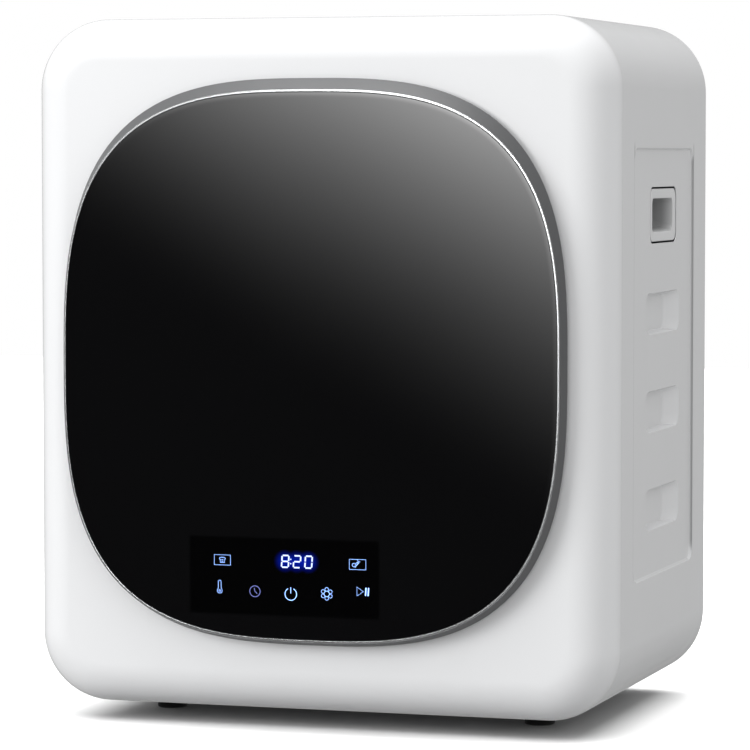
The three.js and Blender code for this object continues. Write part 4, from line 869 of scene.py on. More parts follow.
def make_rear_cover(cabinet):
    """The cover's sheet: open air slots with raised lips, two stiff ribs and a raised round with a dish."""
    low, high = spot("rear_cover")
    bm = bmesh.new()
    size = (high.x - low.x, high.z - low.z)
    centre = (0, (high.z + low.z) / 2)
    outer = rounded_loop(bm, size, cabinet.corner - 0.0015, centre, segments=cabinet.steps)
    collar = middle_of("exhaust_collar")
    gland = middle_of("cord_gland")
    drum = middle_of("drum")
    holes = [
        round_loop(bm, COLLAR_HOLE, (-collar.x, collar.z)),
        round_loop(bm, GLAND_HOLE, (-gland.x, gland.z), segments=32),
        *(round_loop(bm, SCREW_HOLE, (-x, z), segments=16) for x, z in screw_spots(cabinet)),
    ]
    housing = round_loop(bm, cabinet.housing, (0, drum.z))
    presses = []
    for row in range(cabinet.louvres):
        middle = (SLOT_ACROSS, high.z - SLOT_TOP - row * SLOT_PITCH)
        presses.append((rounded_loop(bm, SLOT_SIZE, 0.0035, middle, segments=5), SLOT_SIZE, middle, False))
    for width, height, up in RIBS:
        rib = rounded_loop(bm, (width, height), 0.0055, (0, up), segments=6)
        presses.append((rib, (width, height), (0, up), True))
    filled(bm, outer, housing, *holes, *(press[0] for press in presses))
    for loop, press_size, middle, closed in presses:
        rings = press_rings(press_size, middle, 0, min(0.002, press_size[1] * 0.22), -COVER_PRESS)
        crest = carried(bm, loop, (*press_size, *middle, 0), rings)
        if closed:
            filled(bm, crest)
    round_middle = (0, drum.z)
    round_size = (2 * cabinet.housing, 2 * cabinet.housing)
    raised = carried(bm, housing, (*round_size, *round_middle, 0),
                     press_rings(round_size, round_middle, 0, 0.006, -ROUND_RISE))
    dish_size = (2 * DISH_RADIUS, 2 * DISH_RADIUS)
    dish = round_loop(bm, DISH_RADIUS, round_middle, ROUND_RISE)
    filled(bm, raised, dish)
    hollow = carried(bm, dish, (*dish_size, *round_middle, ROUND_RISE),
                     press_rings(dish_size, round_middle, ROUND_RISE, 0.005, 0.003))
    filled(bm, hollow)
    faced(bm, (0, 0, 1))
    turned_to(bm, FACING_BACK, (0, high.y, 0))
    thickened(bm, high.y - low.y)
    finished(bm, "rear_cover_pressing", "root", "zinc_steel", ("rear_cover",), sharp=35)


def make_cover_screws(cabinet):
    """Six hexagon head screws with washers on the rear cover."""
    _, high = spot("rear_cover")
    bm = bmesh.new()
    for x, z in screw_spots(cabinet):
        washer = [(0.0, 0.0011), (0.0052, 0.0011), (0.0058, 0.0007), (0.0058, 0.0), (0.0, 0.0)]
        absorbed(bm, spun(bmesh.new(), [(r, high.y + d) for r, d in washer], 32, ring=False, centre=(x, z)))
        head = bmesh.new()
        place = Matrix.Translation((x, high.y + 0.0024, z)) @ Matrix.Rotation(math.pi / 2, 4, "X")
        bmesh.ops.create_cone(head, cap_ends=True, segments=6, radius1=0.0038, radius2=0.0038, depth=0.0028,
                              matrix=place)
        tip = [face for face in head.faces if face.normal.y > 0.9]
        bmesh.ops.inset_region(head, faces=tip, thickness=0.0009, depth=0.0003)
        bmesh.ops.inset_region(head, faces=tip, thickness=0.0005, depth=-0.0007)
        absorbed(bm, head)
    finished(bm, "rear_cover_screws", "root", "zinc_steel", sharp=30, edge=0.00015)


def make_collar(cabinet):
    """The exhaust collar: a flange, a tube with snap ribs and a grille of three bars."""
    low, high = spot("exhaust_collar")
    across, up = middle_of("exhaust_collar").x, middle_of("exhaust_collar").z
    tube = cabinet.collar_radius
    bore = tube - 0.0024
    cover = spot("rear_cover")[1].y
    profile = [
        (bore, low.y), (tube, low.y), (tube, cover + 0.0003), (tube + 0.0096, cover + 0.0003),
        (tube + 0.01, cover + 0.0026), (tube + 0.0015, cover + 0.003), (tube, cover + 0.0045),
        (tube, high.y - 0.012), (tube + 0.0012, high.y - 0.0105), (tube, high.y - 0.009),
        (tube, high.y - 0.006), (tube + 0.0012, high.y - 0.0045), (tube, high.y - 0.003),
        (tube - 0.0002, high.y), (bore, high.y),
    ]
    bm = spun(bmesh.new(), softened(profile, 0.0005, 2), 96, centre=(across, up))
    for step in (-1, 0, 1):
        bar = bmesh.new()
        block(bar, (across - bore - 0.001, cover - 0.007, up + step * 0.022 - 0.0015),
              (across + bore + 0.001, cover - 0.004, up + step * 0.022 + 0.0015))
        bmesh.ops.bevel(bar, geom=bar.edges, offset=0.0007, segments=3, profile=0.5, affect="EDGES",
                        material=-1)
        absorbed(bm, bar)
    finished(bm, "exhaust_collar_moulding", "root", "soft_white_plastic", ("exhaust_collar",), sharp=40)


def make_gland():
    """The cord's gland: a hexagon nut on a barrel with a rounded end."""
    low, high = spot("cord_gland")
    centre = middle_of("cord_gland")
    cover = spot("rear_cover")[1].y
    radius = high.x - centre.x
    profile = [
        (0.0045, low.y), (0.0088, low.y), (0.0088, cover + 0.0052), (0.0084, high.y - 0.0012),
        (0.0072, high.y), (0.0045, high.y),
    ]
    bm = spun(bmesh.new(), softened(profile, 0.0006, 3), 64, centre=(centre.x, centre.z))
    nut = bmesh.new()
    place = Matrix.Translation((centre.x, cover + 0.00265, centre.z)) @ Matrix.Rotation(math.pi / 2, 4, "X")
    bmesh.ops.create_cone(nut, cap_ends=True, segments=6, radius1=radius, radius2=radius, depth=0.0046,
                          matrix=place)
    bmesh.ops.bevel(nut, geom=nut.edges, offset=0.0005, segments=2, profile=0.5, affect="EDGES", material=-1)
    absorbed(bm, nut)
    finished(bm, "cord_gland_moulding", "root", "black_plastic", ("cord_gland",), sharp=35)


# ---------- door ----------


def door_lean(depth):
    """0 at the base of the door's band, 1 at its silver ring."""
    base = FRAME[1].y - 0.003
    return min(max((depth - base) / (RING[1].y + 0.0003 - base), 0), 1)


def door_shape(lean):
    """The half width, half height and middle height of the door's outline between its base and its ring."""
    base = (FRAME[1].x, (FRAME[1].z - FRAME[0].z) / 2, (FRAME[1].z + FRAME[0].z) / 2)
    ring = (RING[1].x, (RING[1].z - RING[0].z) / 2, (RING[1].z + RING[0].z) / 2)
    return [first + (last - first) * lean for first, last in zip(base, ring)]


def squared(bm, door, lean=None):
    """Carries a round piece into the door's soft, squared outline."""
    for vert in bm.verts:
        half_width, half_height, middle = door_shape(door_lean(vert.co.y) if lean is None else lean)
        reach = math.hypot(vert.co.x, vert.co.z)
        angle = math.atan2(vert.co.z, vert.co.x)
        cos, sin = math.cos(angle), math.sin(angle)
        reach /= (abs(cos) ** door.power + abs(sin) ** door.power) ** (1 / door.power)
        vert.co.x = reach * cos
        vert.co.z = middle + reach * sin * half_height / half_width


def glass_reach(door):
    """Half the width of the glass, which ends just inside the silver ring."""
    return RING[1].x - door.ring_width - door.ring_gap


def glass_depth(door, across, up):
    """The depth of the glass's crowned face at a place."""
    half_width, half_height, middle = door_shape(1)
    scale = glass_reach(door) / half_width
    share = (abs(across / half_width) ** door.power + abs((up - middle) / half_height) ** door.power)
    share = share ** (1 / door.power) / scale
    return GLASS[0].y + door.crown * min(share, 1) ** 2


def make_glass(door):
    """The pane: a crowned face with a fine arris round it."""
    reach = glass_reach(door)
    face = GLASS[0].y + door.crown
    crown = [((reach - 0.0004) * share, GLASS[0].y + door.crown * share ** 2)
             for share in (1 - (step / 18) ** 1.4 for step in range(18, 0, -1))]
    profile = [
        (0, GLASS[1].y), (reach - 0.0004, GLASS[1].y), (reach, GLASS[1].y - 0.0004), (reach, face + 0.0003),
        (reach - 0.0001, face + 0.0001), (reach - 0.0003, face), *crown[::-1],
    ]
    bm = spun(bmesh.new(), profile, door.steps, ring=False)
    squared(bm, door, 1)
    finished(bm, "door_glass_pane", "door", "black_glass", ("door_glass",), sharp=50)


def make_ring(door):
    outer = RING[1].x
    low, high = RING[0].y, RING[1].y
    profile = [
        (outer - door.ring_width, high), (outer, high), (outer, low + 0.0006), (outer - 0.0005, low),
        (outer - door.ring_width + 0.0004, low), (outer - door.ring_width, low + 0.0003),
    ]
    bm = spun(bmesh.new(), softened(profile, 0.0003, 3), door.steps)
    squared(bm, door, 1)
    finished(bm, "door_ring_trim", "door", "silver_trim", ("door_trim_ring",), sharp=45)


def hinge_reliefs(cabinet, bm):
    """The spaces in the door that the fixed hinge arms sweep through."""
    pin = middle_of("hinge_pin")
    for side in (-1, 1):
        up = pin.z + side * cabinet.arm_spread
        block(bm, (pin.x - 0.012, -0.015, up - 0.0056), (pin.x + 0.0043, 0.002, up + 0.0056))
    return bm


def make_door_frame(cabinet, door):
    """The door's sloped band, with the ledge that the glass lies on."""
    half = FRAME[1].x
    base = FRAME[1].y
    ring = RING[1].x
    ring_back = RING[1].y + 0.0003
    seat = ring - door.ring_width
    ledge = GLASS[1].y + 0.0003
    behind = ledge + 0.0018
    at_behind = door_shape(door_lean(behind))[0] - 0.0022
    profile = [
        (half - 0.003, base), (half - 0.0052, base), (half - 0.0022, base - 0.003), (at_behind, behind),
        (seat - 0.012, behind), (seat - 0.012, ledge), (seat, ledge), (seat, ring_back), (ring, ring_back),
        (half, base - 0.003),
    ]
    bm = spun(bmesh.new(), softened(profile, 0.0005, 3), door.steps)
    squared(bm, door)
    carved(bm, hinge_reliefs(cabinet, bmesh.new()))
    finished(bm, "door_frame_band", "door", "dark_grey_frame", ("door_frame",), sharp=40)


def make_liner(door):
    """The door's inner plate with the bowl that keeps the laundry in the drum."""
    low, high = spot("door_liner")
    level = FRAME[1].y - 0.0005
    drum = middle_of("drum")
    bm = bmesh.new()
    rim = round_loop(bm, high.x, segments=door.steps)
    for vert in {vert for edge in rim for vert in edge.verts}:
        cos, sin = vert.co.x / high.x, vert.co.y / high.x
        reach = high.x / (abs(cos) ** door.power + abs(sin) ** door.power) ** (1 / door.power)
        vert.co = (reach * cos, (low.z + high.z) / 2 + reach * sin * (high.z - low.z) / (2 * high.x), 0)
    radius = spot("mouth_ring")[1].x - BOWL_INSET
    mouth = round_loop(bm, radius, (0, drum.z))
    filled(bm, rim, mouth)
    carried(bm, rim, (2 * high.x, 2 * high.x, 0, (low.z + high.z) / 2, 0),
            [(2 * high.x, 2 * high.x, 0, (low.z + high.z) / 2, -0.0008)])
    rings = []
    for inset, depth in BOWL_CURVE:
        width = 2 * (radius - inset)
        rings.append((width, width, 0, drum.z, depth * (high.y - level)))
    filled(bm, carried(bm, mouth, (2 * radius, 2 * radius, 0, drum.z, 0), rings))
    faced(bm, (0, 0, 1))
    turned_to(bm, FACING_BACK, (0, level, 0))
    thickened(bm, MOULDED_WALL)
    pin = middle_of("hinge_pin")
    cutters = bmesh.new()
    block(cutters, (pin.x - 0.012, -0.016, pin.z - 0.054), (pin.x + 0.039, 0.002, pin.z + 0.054))
    carved(bm, cutters)
    finished(bm, "door_liner_moulding", "door", "mid_grey_plastic", ("door_liner",), sharp=40)


def make_seal():
    """The rubber seal: a flat foot and a soft bulb."""
    low, high = spot("door_seal")
    drum = middle_of("drum")
    inner = (high.x - low.x) / 2 - 0.010
    profile = [
        (inner, low.y), (inner + 0.010, low.y), (inner + 0.0092, low.y + 0.003),
        (inner + 0.0074, low.y + 0.0035), (inner + 0.0088, high.y - 0.0015), (inner + 0.0065, high.y),
        (inner + 0.0035, high.y), (inner + 0.0012, high.y - 0.0015), (inner + 0.0026, low.y + 0.0035),
        (inner + 0.0008, low.y + 0.003),
    ]
    bm = spun(bmesh.new(), softened(profile, 0.0009, 3), 128, centre=(0, drum.z))
    finished(bm, "door_seal_rubber", "door", "black_rubber", ("door_seal",), sharp=50)


# ---------- display ----------


def arc(x, y, radius, start=0.0, end=360.0, steps=24):
    """Points on an arc, in degrees anticlockwise from the right. A full circle leaves out its last point."""
    count = steps if end - start >= 360 else steps + 1
    angles = [math.radians(start + (end - start) * step / steps) for step in range(count)]
    return [(x + radius * math.cos(angle), y + radius * math.sin(angle)) for angle in angles]


def stroked(bm, width, *lines):
    """Draws lines of points as flat, round ended strokes. A line is (points, closed), in millimetres."""
    curve = bpy.data.curves.new("stroke", "CURVE")
    curve.dimensions = "3D"
    curve.bevel_depth = width / 2
    curve.bevel_resolution = 2
    curve.use_fill_caps = True
    for points, closed in lines:
        spline = curve.splines.new("POLY")
        spline.points.add(len(points) - 1)
        for corner, (x, y) in zip(spline.points, points):
            corner.co = (x, y, 0, 1)
        spline.use_cyclic_u = closed
    work = bpy.data.objects.new("stroke", curve)
    bpy.context.scene.collection.objects.link(work)
    depsgraph = bpy.context.evaluated_depsgraph_get()
    mesh = bpy.data.meshes.new_from_object(work.evaluated_get(depsgraph))
    bm.from_mesh(mesh)
    bpy.data.meshes.remove(mesh)
    bpy.data.curves.remove(curve)


def make_digit(bm, figure, x, y):
    """A seven segment figure, leaning a little."""
    for bar in SEGMENTS_LIT[figure]:
        (left, low), (right, high) = SEGMENTS[bar]
        first = Vector((left * DIGIT_WIDTH, low * DIGIT_HEIGHT))
        last = Vector((right * DIGIT_WIDTH, high * DIGIT_HEIGHT))
        gap = (last - first).normalized() * SEGMENT_GAP
        ends = [(x + end.x + DIGIT_LEAN * end.y, y + end.y) for end in (first + gap, last - gap)]
        stroked(bm, SEGMENT_WIDTH, (ends, False))


def make_digits(bm):
    for figure, x in DIGITS:
        make_digit(bm, figure, x - DIGIT_WIDTH / 2, DIGIT_LINE - DIGIT_HEIGHT / 2)
    for y in (-2.1, 2.1):
        stroked(bm, 0.7, (arc(0.1, DIGIT_LINE + y, 0.35, steps=8), True))


def shrunk(points, about, share):
    return [(about[0] + (x - about[0]) * share, about[1] + (y - about[1]) * share) for x, y in points]


def make_icons(bm):
    """The lit signs: two in frames, a thermometer, a power sign, a flower, and start and pause."""
    for x in FRAMED_ICONS_X:
        corners = [(x - 8.3, 9.8), (x + 8.3, 9.8), (x + 8.3, 19.6), (x - 8.3, 19.6)]
        stroked(bm, 0.36, (corners, True))
    shirt = shrunk([(-72.4, 11.6), (-67.4, 11.6), (-67.4, 15.6), (-66.4, 15.2), (-65.9, 16.6), (-68.3, 17.8),
                    (-71.5, 17.8), (-73.9, 16.6), (-73.4, 15.2), (-72.4, 15.6)], (-69.9, 14.7), 0.82)
    stripes = (([(-70.9, up), (-68.9, up)], False) for up in (13.3, 14.7))
    stroked(bm, 0.4, (shirt, True), *stripes)
    leaf = arc(69.8, 12.4, 5.0, 84, 158, 10) + arc(63.9, 17.0, 4.3, -46, 38, 10)
    stroked(bm, 0.36, (leaf, False), ([(65.2, 11.6), (66.6, 14.0), (69.2, 16.4)], False),
            (arc(64.0, 14.1, 1.7, 60, 330, 12), False))
    stem = arc(-72.8, -15.2, 2.5, 126, 414, 18)
    cap = arc(-72.8, -6.6, 1.45, 0, 180, 8)
    stroked(bm, 0.34, (stem + cap, True), (arc(-72.8, -15.2, 0.9, steps=10), True))
    stroked(bm, 0.6, (arc(0, -16.2, 5.9, 118, 422, 32), False), ([(0, -9.6), (0, -15.4)], False))
    petals = [(arc(36.5 + 4.3 * math.cos(turn), -14.6 + 4.3 * math.sin(turn), 1.8, steps=14), True)
              for turn in (math.radians(30 + 60 * step) for step in range(6))]
    stroked(bm, 0.34, (arc(36.5, -14.6, 2.7, steps=20), True), *petals)
    stroked(bm, 0.42, ([(67.0, -15.6), (67.0, -6.8), (73.4, -11.2)], True))
    for x in (75.6, 78.2):
        stroked(bm, 1.2, ([(x, -15.2), (x + 0.5, -7.4)], False))


def make_clock(bm):
    """The dim sign: a clock's face and its hands."""
    stroked(bm, 0.55, (arc(-36.6, -14.7, 5.3, steps=32), True),
            ([(-37.4, -11.4), (-36.6, -14.7), (-34.2, -17.0)], False))


def make_marks(door):
    """Lays the lit marks on the crowned glass."""
    screen = middle_of("display_board")
    marks = (("display_digits", make_digits, "lit_digits"), ("display_icons", make_icons, "lit_icons"),
             ("display_clock", make_clock, "dim_icons"))
    for name, draw, finish in marks:
        bm = bmesh.new()
        draw(bm)
        bmesh.ops.scale(bm, verts=bm.verts, vec=(0.001, 0.001, 0.00008))
        turned_to(bm, FACING_FRONT, (screen.x, 0, screen.z))
        for vert in bm.verts:
            vert.co.y += glass_depth(door, vert.co.x, vert.co.z)
        settle(bm, 1e-7)
        finished(bm, name, "door", "soft_white_plastic", finish=finish, sharp=60)


# ---------- mouth and drum ----------


def make_mouth(cabinet):
    """The ring that closes the gap between the shell's mouth and the drum."""
    low, high = spot("mouth_ring")
    drum = middle_of("drum")
    outer = high.x
    hole = outer - cabinet.mouth_lap
    inner = hole - 0.022
    seat = cabinet.shell_wall + 0.003
    profile = [
        (inner, seat), (hole - 0.0005, seat), (hole - 0.0005, low.y), (outer, low.y), (outer, seat + 0.002),
        (inner + 0.003, seat + 0.002), (inner + 0.003, high.y), (inner, high.y),
    ]
    bm = spun(bmesh.new(), softened(profile, 0.0012, 4), 128, centre=(0, drum.z))
    finished(bm, "mouth_ring_moulding", "root", "soft_white_plastic", ("mouth_ring",), sharp=45)


def make_drum(sizes):
    """The drum's sheet, pressed all over with small pads, with its vents at the back."""
    low, high = spot("drum")
    centre = middle_of("drum")
    radius = high.x
    wall = sizes.wall
    front, back = low.y, high.y
    lip = spot("front_felt")[1].x + 0.0012 + wall
    barrel = [(radius, front + 0.037 + step * (back - front - 0.057) / 20) for step in range(21)]
    profile = [
        (lip, front), (lip, front + 0.0125), (lip + 0.005, front + 0.0145), (radius - 0.028, front + 0.017),
        (radius - 0.014, front + 0.020), (radius - 0.006, front + 0.025), (radius - 0.0015, front + 0.031),
        *barrel, (radius - 0.0015, back - 0.0115), (radius - 0.006, back - 0.005), (radius - 0.018, back),
        *((reach, back) for reach in (0.19, 0.15, 0.11, *VENT_RADII[::-1])), (0.0235, back),
    ]
    bm = spun(bmesh.new(), profile, sizes.steps, ring=False)
    faced(bm, (0, 1, 0))
    vents = []
    pads = []
    for face in bm.faces:
        place = face.calc_center_median()
        reach = math.hypot(place.x, place.z)
        column = round(math.atan2(place.z, place.x) / math.tau * sizes.steps - 0.5) % sizes.steps
        row = round((place.y - barrel[0][1]) / (barrel[1][1] - barrel[0][1]) - 0.5)
        at_vents = place.y > back - wall and VENT_RADII[0] < reach < VENT_RADII[1]
        if at_vents and column % (sizes.steps // sizes.vents) < 2:
            vents.append(face)
        if barrel[0][1] < place.y < barrel[-1][1] and (row + column) % 2:
            pads.append(face)
    bmesh.ops.inset_individual(bm, faces=pads, thickness=PAD_BORDER, depth=0, use_even_offset=True)
    bmesh.ops.inset_individual(bm, faces=pads, thickness=PAD_DEPTH, depth=-PAD_DEPTH, use_even_offset=True)
    bmesh.ops.delete(bm, geom=vents, context="FACES")
    bmesh.ops.translate(bm, verts=bm.verts, vec=(0, 0, centre.z))
    thickened(bm, wall)
    finished(bm, "drum_shell", "drum", "stainless_steel", ("drum",), sharp=40)


def make_lifter(drum_sizes, number):
    """A lifter: a baffle with a narrow crest and rounded ends, drawn out from one end to the other."""
    node = f"drum_lifter_{number}"
    axis = middle_of("drum")
    turn = (number - 1) * math.tau / 3
    bottom = spot("drum")[0].z - axis.z + drum_sizes.wall
    half = 0.0295
    base = -math.sqrt(bottom ** 2 - half ** 2) + 0.0008
    bm = bmesh.new()
    count = 28
    crest = 0.0345
    corners = []
    for step in range(count + 1):
        x = -half + 2 * half * step / count
        rise = crest * (0.5 + 0.5 * math.cos(math.pi * x / half)) ** 1.5
        corners.append(bm.verts.new((x, rise, 0)))
    face = bm.faces.new(corners)
    ends = ((0.0, 0.25, 0.8), (0.004, 0.62, 0.9), (0.012, 0.9, 0.97), (0.024, 1.0, 1.0))
    span = LIFTER[1].y - LIFTER[0].y
    stations = [*ends, *((span - depth, rise, width) for depth, rise, width in ends[::-1])]
    bmesh.ops.scale(bm, verts=bm.verts, vec=(stations[0][2], stations[0][1], 1))
    at = stations[0]
    inner = []
    for station in stations[1:]:
        made = bmesh.ops.extrude_face_region(bm, geom=[face])["geom"]
        if at is not stations[0]:
            inner.append(face)
        verts = [part for part in made if isinstance(part, bmesh.types.BMVert)]
        face = [part for part in made if isinstance(part, bmesh.types.BMFace)][0]
        bmesh.ops.scale(bm, verts=verts, vec=(station[2] / at[2], station[1] / at[1], 1))
        bmesh.ops.translate(bm, verts=verts, vec=(0, 0, station[0] - at[0]))
        at = station
    bmesh.ops.delete(bm, geom=inner, context="FACES_ONLY")
    settle(bm)
    turned_to(bm, Matrix(((1, 0, 0, 0), (0, 0, 1, LIFTER[0].y), (0, 1, 0, base), (0, 0, 0, 1))))
    bmesh.ops.recalc_face_normals(bm, faces=bm.faces)
    bmesh.ops.transform(bm, matrix=Matrix.Translation((0, 0, axis.z)) @ Matrix.Rotation(-turn, 4, "Y"),
                        verts=bm.verts)
    finished(bm, f"{node}_moulding", "drum", "soft_white_plastic", (node,), sharp=50)


def make_filter():
    """The lint filter's frame with ten windows, and the mesh behind them."""
    low, high = spot("lint_filter")
    centre = middle_of("lint_filter")
    radius = high.x
    profile = [
        (0.030, low.y), (FILTER_WINDOWS[0], low.y), (FILTER_WINDOWS[1], low.y), (radius - 0.017, low.y),
        (radius - 0.011, low.y + 0.0018), (radius - 0.0085, low.y + 0.006), (radius - 0.003, high.y - 0.006),
        (radius - 0.0015, high.y - 0.0015), (radius, high.y),
    ]
    steps = 120
    steps_per_window = 12
    bm = spun(bmesh.new(), profile, steps, ring=False)
    faced(bm, (0, -1, 0))
    windows = []
    for face in bm.faces:
        place = face.calc_center_median()
        column = int(math.atan2(place.z, place.x) / math.tau * steps) % steps_per_window
        if FILTER_WINDOWS[0] < math.hypot(place.x, place.z) < FILTER_WINDOWS[1] and column not in (0, 1):
            windows.append(face)
    bmesh.ops.delete(bm, geom=windows, context="FACES")
    cap = [edge for edge in bm.edges if edge.is_boundary and edge.calc_length() < 0.002
           and all(math.hypot(vert.co.x, vert.co.z) < 0.031 for vert in edge.verts)]
    pull = bmesh.ops.extrude_edge_only(bm, edges=cap)["geom"]
    verts = [part for part in pull if isinstance(part, bmesh.types.BMVert)]
    bmesh.ops.scale(bm, verts=verts, vec=(0.9, 1, 0.9))
    bmesh.ops.translate(bm, verts=verts, vec=(0, 0.006, 0))
    rim = [edge for edge in bm.edges if edge.is_boundary and set(edge.verts) <= set(verts)]
    bmesh.ops.edgenet_fill(bm, edges=rim)
    bmesh.ops.translate(bm, verts=bm.verts, vec=(0, 0, centre.z))
    thickened(bm, MOULDED_WALL)
    finished(bm, "lint_filter_frame", "lint_filter", "mid_grey_plastic", ("lint_filter",), sharp=40,
             edge=0.0003)
    front, back = low.y + 0.0028, low.y + 0.0034
    screen = [(0.032, front), (0.088, front), (0.088, back), (0.032, back)]
    mesh = spun(bmesh.new(), screen, 96, centre=(0, centre.z))
    finished(mesh, "lint_filter_mesh", "lint_filter", "mid_grey_plastic", finish="filter_mesh")


# ---------- stage ----------


def make_camera(stage):
    data = bpy.data.cameras.new("view")
    data.lens = stage.lens
    data.clip_end = 50
    camera = bpy.data.objects.new("view", data)
    camera.location = stage.eye
    camera.rotation_euler = (math.pi / 2 - stage.pitch, 0, stage.azimuth)
    bpy.context.scene.collection.objects.link(camera)
    bpy.context.scene.camera = camera


def add_light(name, power, size, place, aim, glossy=True):
    data = bpy.data.lights.new(name, "AREA")
    data.shape = "RECTANGLE"
    data.size, data.size_y = size
    data.energy = power
    light = bpy.data.objects.new(name, data)
    light.location = place
    light.rotation_euler = (Vector(aim) - Vector(place)).to_track_quat("-Z", "Y").to_euler()
    light.visible_glossy = glossy
    bpy.context.scene.collection.objects.link(light)
    return light


def lights_only(source, title, names):
    """Lets a light or a glowing card reach the named objects alone."""
    receivers = bpy.data.collections.new(title)
    for name in names:
        receivers.objects.link(bpy.data.objects[name])
    source.light_linking.receiver_collection = receivers


def make_world(stage):
    """White behind everything, soft light that is stronger from above, and a dim room in the reflections."""
    world = bpy.data.worlds.new("studio")
    world.use_nodes = True
    nodes, links = world.node_tree.nodes, world.node_tree.links
    path = nodes.new("ShaderNodeLightPath")
    plain = nodes["Background"]
    plain.inputs["Color"].default_value = (1, 1, 1, 1)
    seen = nodes.new("ShaderNodeBackground")
    seen.inputs["Strength"].default_value = 1.0
    seen.inputs["Color"].default_value = (1, 1, 1, 1)
    mirrored = nodes.new("ShaderNodeBackground")
    direction = nodes.new("ShaderNodeSeparateXYZ")
    links.new(nodes.new("ShaderNodeTexCoord").outputs["Generated"], direction.inputs[0])
    for shader, axis, span, strengths in ((plain, "Z", (-0.3, 0.3), (stage.bounce, stage.ambient)),
                                          (mirrored, "Y", (-0.3, 0.8), (stage.room, stage.room_back))):
        change = nodes.new("ShaderNodeMapRange")
        change.interpolation_type = "SMOOTHSTEP"
        for socket, value in zip(("From Min", "From Max", "To Min", "To Max"), (*span, *strengths)):
            change.inputs[socket].default_value = value
        links.new(direction.outputs[axis], change.inputs["Value"])
        links.new(change.outputs["Result"], shader.inputs["Strength"])
    gloss = nodes.new("ShaderNodeMixShader")
    links.new(path.outputs["Is Glossy Ray"], gloss.inputs[0])
    links.new(plain.outputs[0], gloss.inputs[1])
    links.new(mirrored.outputs[0], gloss.inputs[2])
    both = nodes.new("ShaderNodeMixShader")
    links.new(path.outputs["Is Camera Ray"], both.inputs[0])
    links.new(gloss.outputs[0], both.inputs[1])
    links.new(seen.outputs[0], both.inputs[2])
    links.new(both.outputs[0], nodes["World Output"].inputs["Surface"])
    bpy.context.scene.world = world


def make_floor(name, albedo, level):
    """A sheet of paper under the dryer."""
    bm = bmesh.new()
    bmesh.ops.create_grid(bm, x_segments=1, y_segments=1, size=6)
    floor = bpy.data.objects.new(name, bpy.data.meshes.new(name))
    bm.to_mesh(floor.data)
    bm.free()
    floor.location.z = level
    paper = Finish(name, Specular_IOR_Level=0.15, Roughness=0.7)
    paper.feed(Base_Color=paper.blend(paper.noise(2, 2), shade((albedo,) * 3, 0.98), shade((albedo,) * 3)))
    floor.data.materials.append(paper.material)
    floor.visible_glossy = False
    bpy.context.scene.collection.objects.link(floor)
    return floor


def make_floors():
    """The sheet that is seen, lit white by its own panel, and an unseen one that lights the dryer's foot."""
    make_floor("floor", albedo=0.6, level=0).visible_diffuse = False
    make_floor("floor_bounce", albedo=0.62, level=-0.001).visible_camera = False


def make_softbox(stage):
    """A large card that fades to dark, mirrored only by the door's glass and its silver ring."""
    bm = bmesh.new()
    bmesh.ops.create_grid(bm, x_segments=1, y_segments=1, size=0.5,
                          matrix=Matrix.Rotation(math.pi / 2, 4, "X") @ Matrix.Diagonal((*CARD_SIZE, 1, 1)))
    bmesh.ops.translate(bm, verts=bm.verts, vec=stage.card)
    card = bpy.data.objects.new("softbox", bpy.data.meshes.new("softbox"))
    bm.to_mesh(card.data)
    bm.free()
    glow = Finish("softbox", Base_Color=(0, 0, 0, 1), Specular_IOR_Level=0.0)
    across, _, up = glow.axes()
    rise = (up - stage.card[2]) + CARD_LEAN * (across - stage.card[0])
    glow.feed(Emission_Color=glow.blend(rise.above(stage.fade_start, 1.0) ** 3, (0, 0, 0, 1), (1, 1, 1, 1)))
    glow.shader.inputs["Emission Strength"].default_value = stage.card_power
    card.data.materials.append(glow.material)
    card.visible_camera = False
    card.visible_diffuse = False
    card.visible_shadow = False
    bpy.context.scene.collection.objects.link(card)
    lights_only(card, "mirrors", ["door_glass_pane", "door_ring_trim"])


# ---------- operators ----------


class DryerOperator(bpy.types.Operator):
    bl_options = {"REGISTER", "UNDO"}


class DRYER_OT_finishes(DryerOperator):
    """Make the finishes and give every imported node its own"""

    bl_idname = "dryer.finishes"
    bl_label = "Finishes"

    def execute(self, context):
        make_finishes(context.scene.dryer_finishes, context.scene.dryer_cabinet)
        dress_frame()
        return {"FINISHED"}


class DRYER_OT_camera(DryerOperator):
    """Set up the camera"""

    bl_idname = "dryer.camera"
    bl_label = "Camera"

    def execute(self, context):
        make_camera(context.scene.dryer_stage)
        return {"FINISHED"}


class DRYER_OT_shell(DryerOperator):
    """Mould the front shell"""

    bl_idname = "dryer.shell"
    bl_label = "Front shell"

    def execute(self, context):
        make_shell(context.scene.dryer_cabinet)
        return {"FINISHED"}


class DRYER_OT_wrap(DryerOperator):
    """Press the steel wrap with its fields and pockets"""

    bl_idname = "dryer.wrap"
    bl_label = "Cabinet wrap"

    def execute(self, context):
        make_wrap(context.scene.dryer_cabinet)
        return {"FINISHED"}


class DRYER_OT_hand_cups(DryerOperator):
    """Mould the two hand cups"""

    bl_idname = "dryer.hand_cups"
    bl_label = "Hand cups"

    def execute(self, context):
        make_hand_cup(context.scene.dryer_cabinet, -1, "handle_cup_left")
        make_hand_cup(context.scene.dryer_cabinet, 1, "handle_cup_right")
        return {"FINISHED"}


class DRYER_OT_feet(DryerOperator):
    """Turn the four rubber feet"""

    bl_idname = "dryer.feet"
    bl_label = "Feet"

    def execute(self, context):
        for place in ("front_left", "front_right", "rear_left", "rear_right"):
            make_foot(f"foot_{place}")
        return {"FINISHED"}


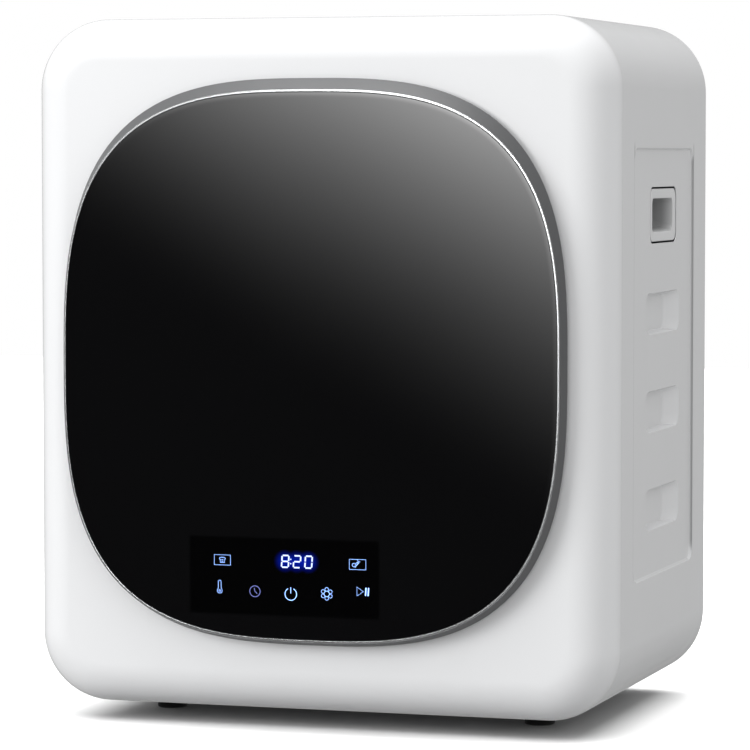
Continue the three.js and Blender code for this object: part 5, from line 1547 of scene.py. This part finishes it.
class DRYER_OT_back(DryerOperator):
    """Make the rear cover with its screws, the exhaust collar and the cord's gland"""

    bl_idname = "dryer.back"
    bl_label = "Back"

    def execute(self, context):
        cabinet = context.scene.dryer_cabinet
        make_rear_cover(cabinet)
        make_cover_screws(cabinet)
        make_collar(cabinet)
        make_gland()
        return {"FINISHED"}


class DRYER_OT_door(DryerOperator):
    """Make the door's glass, ring, band, liner and seal"""

    bl_idname = "dryer.door"
    bl_label = "Door"

    def execute(self, context):
        cabinet, door = context.scene.dryer_cabinet, context.scene.dryer_door
        make_glass(door)
        make_ring(door)
        make_door_frame(cabinet, door)
        make_liner(door)
        make_seal()
        return {"FINISHED"}


class DRYER_OT_display(DryerOperator):
    """Lay the lit digits and signs on the glass"""

    bl_idname = "dryer.display"
    bl_label = "Display"

    def execute(self, context):
        make_marks(context.scene.dryer_door)
        return {"FINISHED"}


class DRYER_OT_drum(DryerOperator):
    """Make the mouth ring, the drum, its lifters and the lint filter"""

    bl_idname = "dryer.drum"
    bl_label = "Drum"

    def execute(self, context):
        make_mouth(context.scene.dryer_cabinet)
        make_drum(context.scene.dryer_drum)
        for number in (1, 2, 3):
            make_lifter(context.scene.dryer_drum, number)
        make_filter()
        return {"FINISHED"}


class DRYER_OT_stage(DryerOperator):
    """Set the floor, the lights and the world round the dryer"""

    bl_idname = "dryer.stage"
    bl_label = "Stage"

    def execute(self, context):
        stage = context.scene.dryer_stage
        context.scene.view_settings.view_transform = "Standard"
        make_world(stage)
        make_floors()
        make_softbox(stage)
        add_light("key", stage.key, *KEY_LIGHT, glossy=False)
        sky = add_light("sky", stage.sky, *SKY_LIGHT, glossy=False)
        lights_only(sky, "paper", ["floor"])
        add_light("top", stage.top, *TOP_LIGHT)
        return {"FINISHED"}


STEPS = (DRYER_OT_camera, DRYER_OT_finishes, DRYER_OT_shell, DRYER_OT_wrap, DRYER_OT_hand_cups,
         DRYER_OT_feet, DRYER_OT_back, DRYER_OT_door, DRYER_OT_display, DRYER_OT_drum, DRYER_OT_stage)


class DRYER_PT_panel(bpy.types.Panel):
    """Lists the dryer's sizes, colours and steps"""

    bl_idname = "DRYER_PT_panel"
    bl_label = "Clothes dryer"
    bl_space_type = "VIEW_3D"
    bl_region_type = "UI"
    bl_category = "Dryer"

    def draw(self, context):
        for name in GROUPS:
            group = getattr(context.scene, name)
            box = self.layout.box()
            for field in group.__annotations__:
                box.prop(group, field)
        for step in STEPS:
            self.layout.operator(step.bl_idname)


GROUPS = {
    "dryer_cabinet": CabinetSizes,
    "dryer_door": DoorSizes,
    "dryer_drum": DrumSizes,
    "dryer_finishes": Finishes,
    "dryer_stage": StageSettings,
}


def register():
    for kind in (*GROUPS.values(), *STEPS, DRYER_PT_panel):
        bpy.utils.register_class(kind)
    for name, kind in GROUPS.items():
        setattr(bpy.types.Scene, name, PointerProperty(type=kind))


def unregister():
    for name in GROUPS:
        delattr(bpy.types.Scene, name)
    for kind in (DRYER_PT_panel, *STEPS[::-1], *list(GROUPS.values())[::-1]):
        bpy.utils.unregister_class(kind)


def main():
    register()
    for step in STEPS:
        family, name = step.bl_idname.split(".")
        getattr(getattr(bpy.ops, family), name)()


if __name__ == "__main__":
    main()
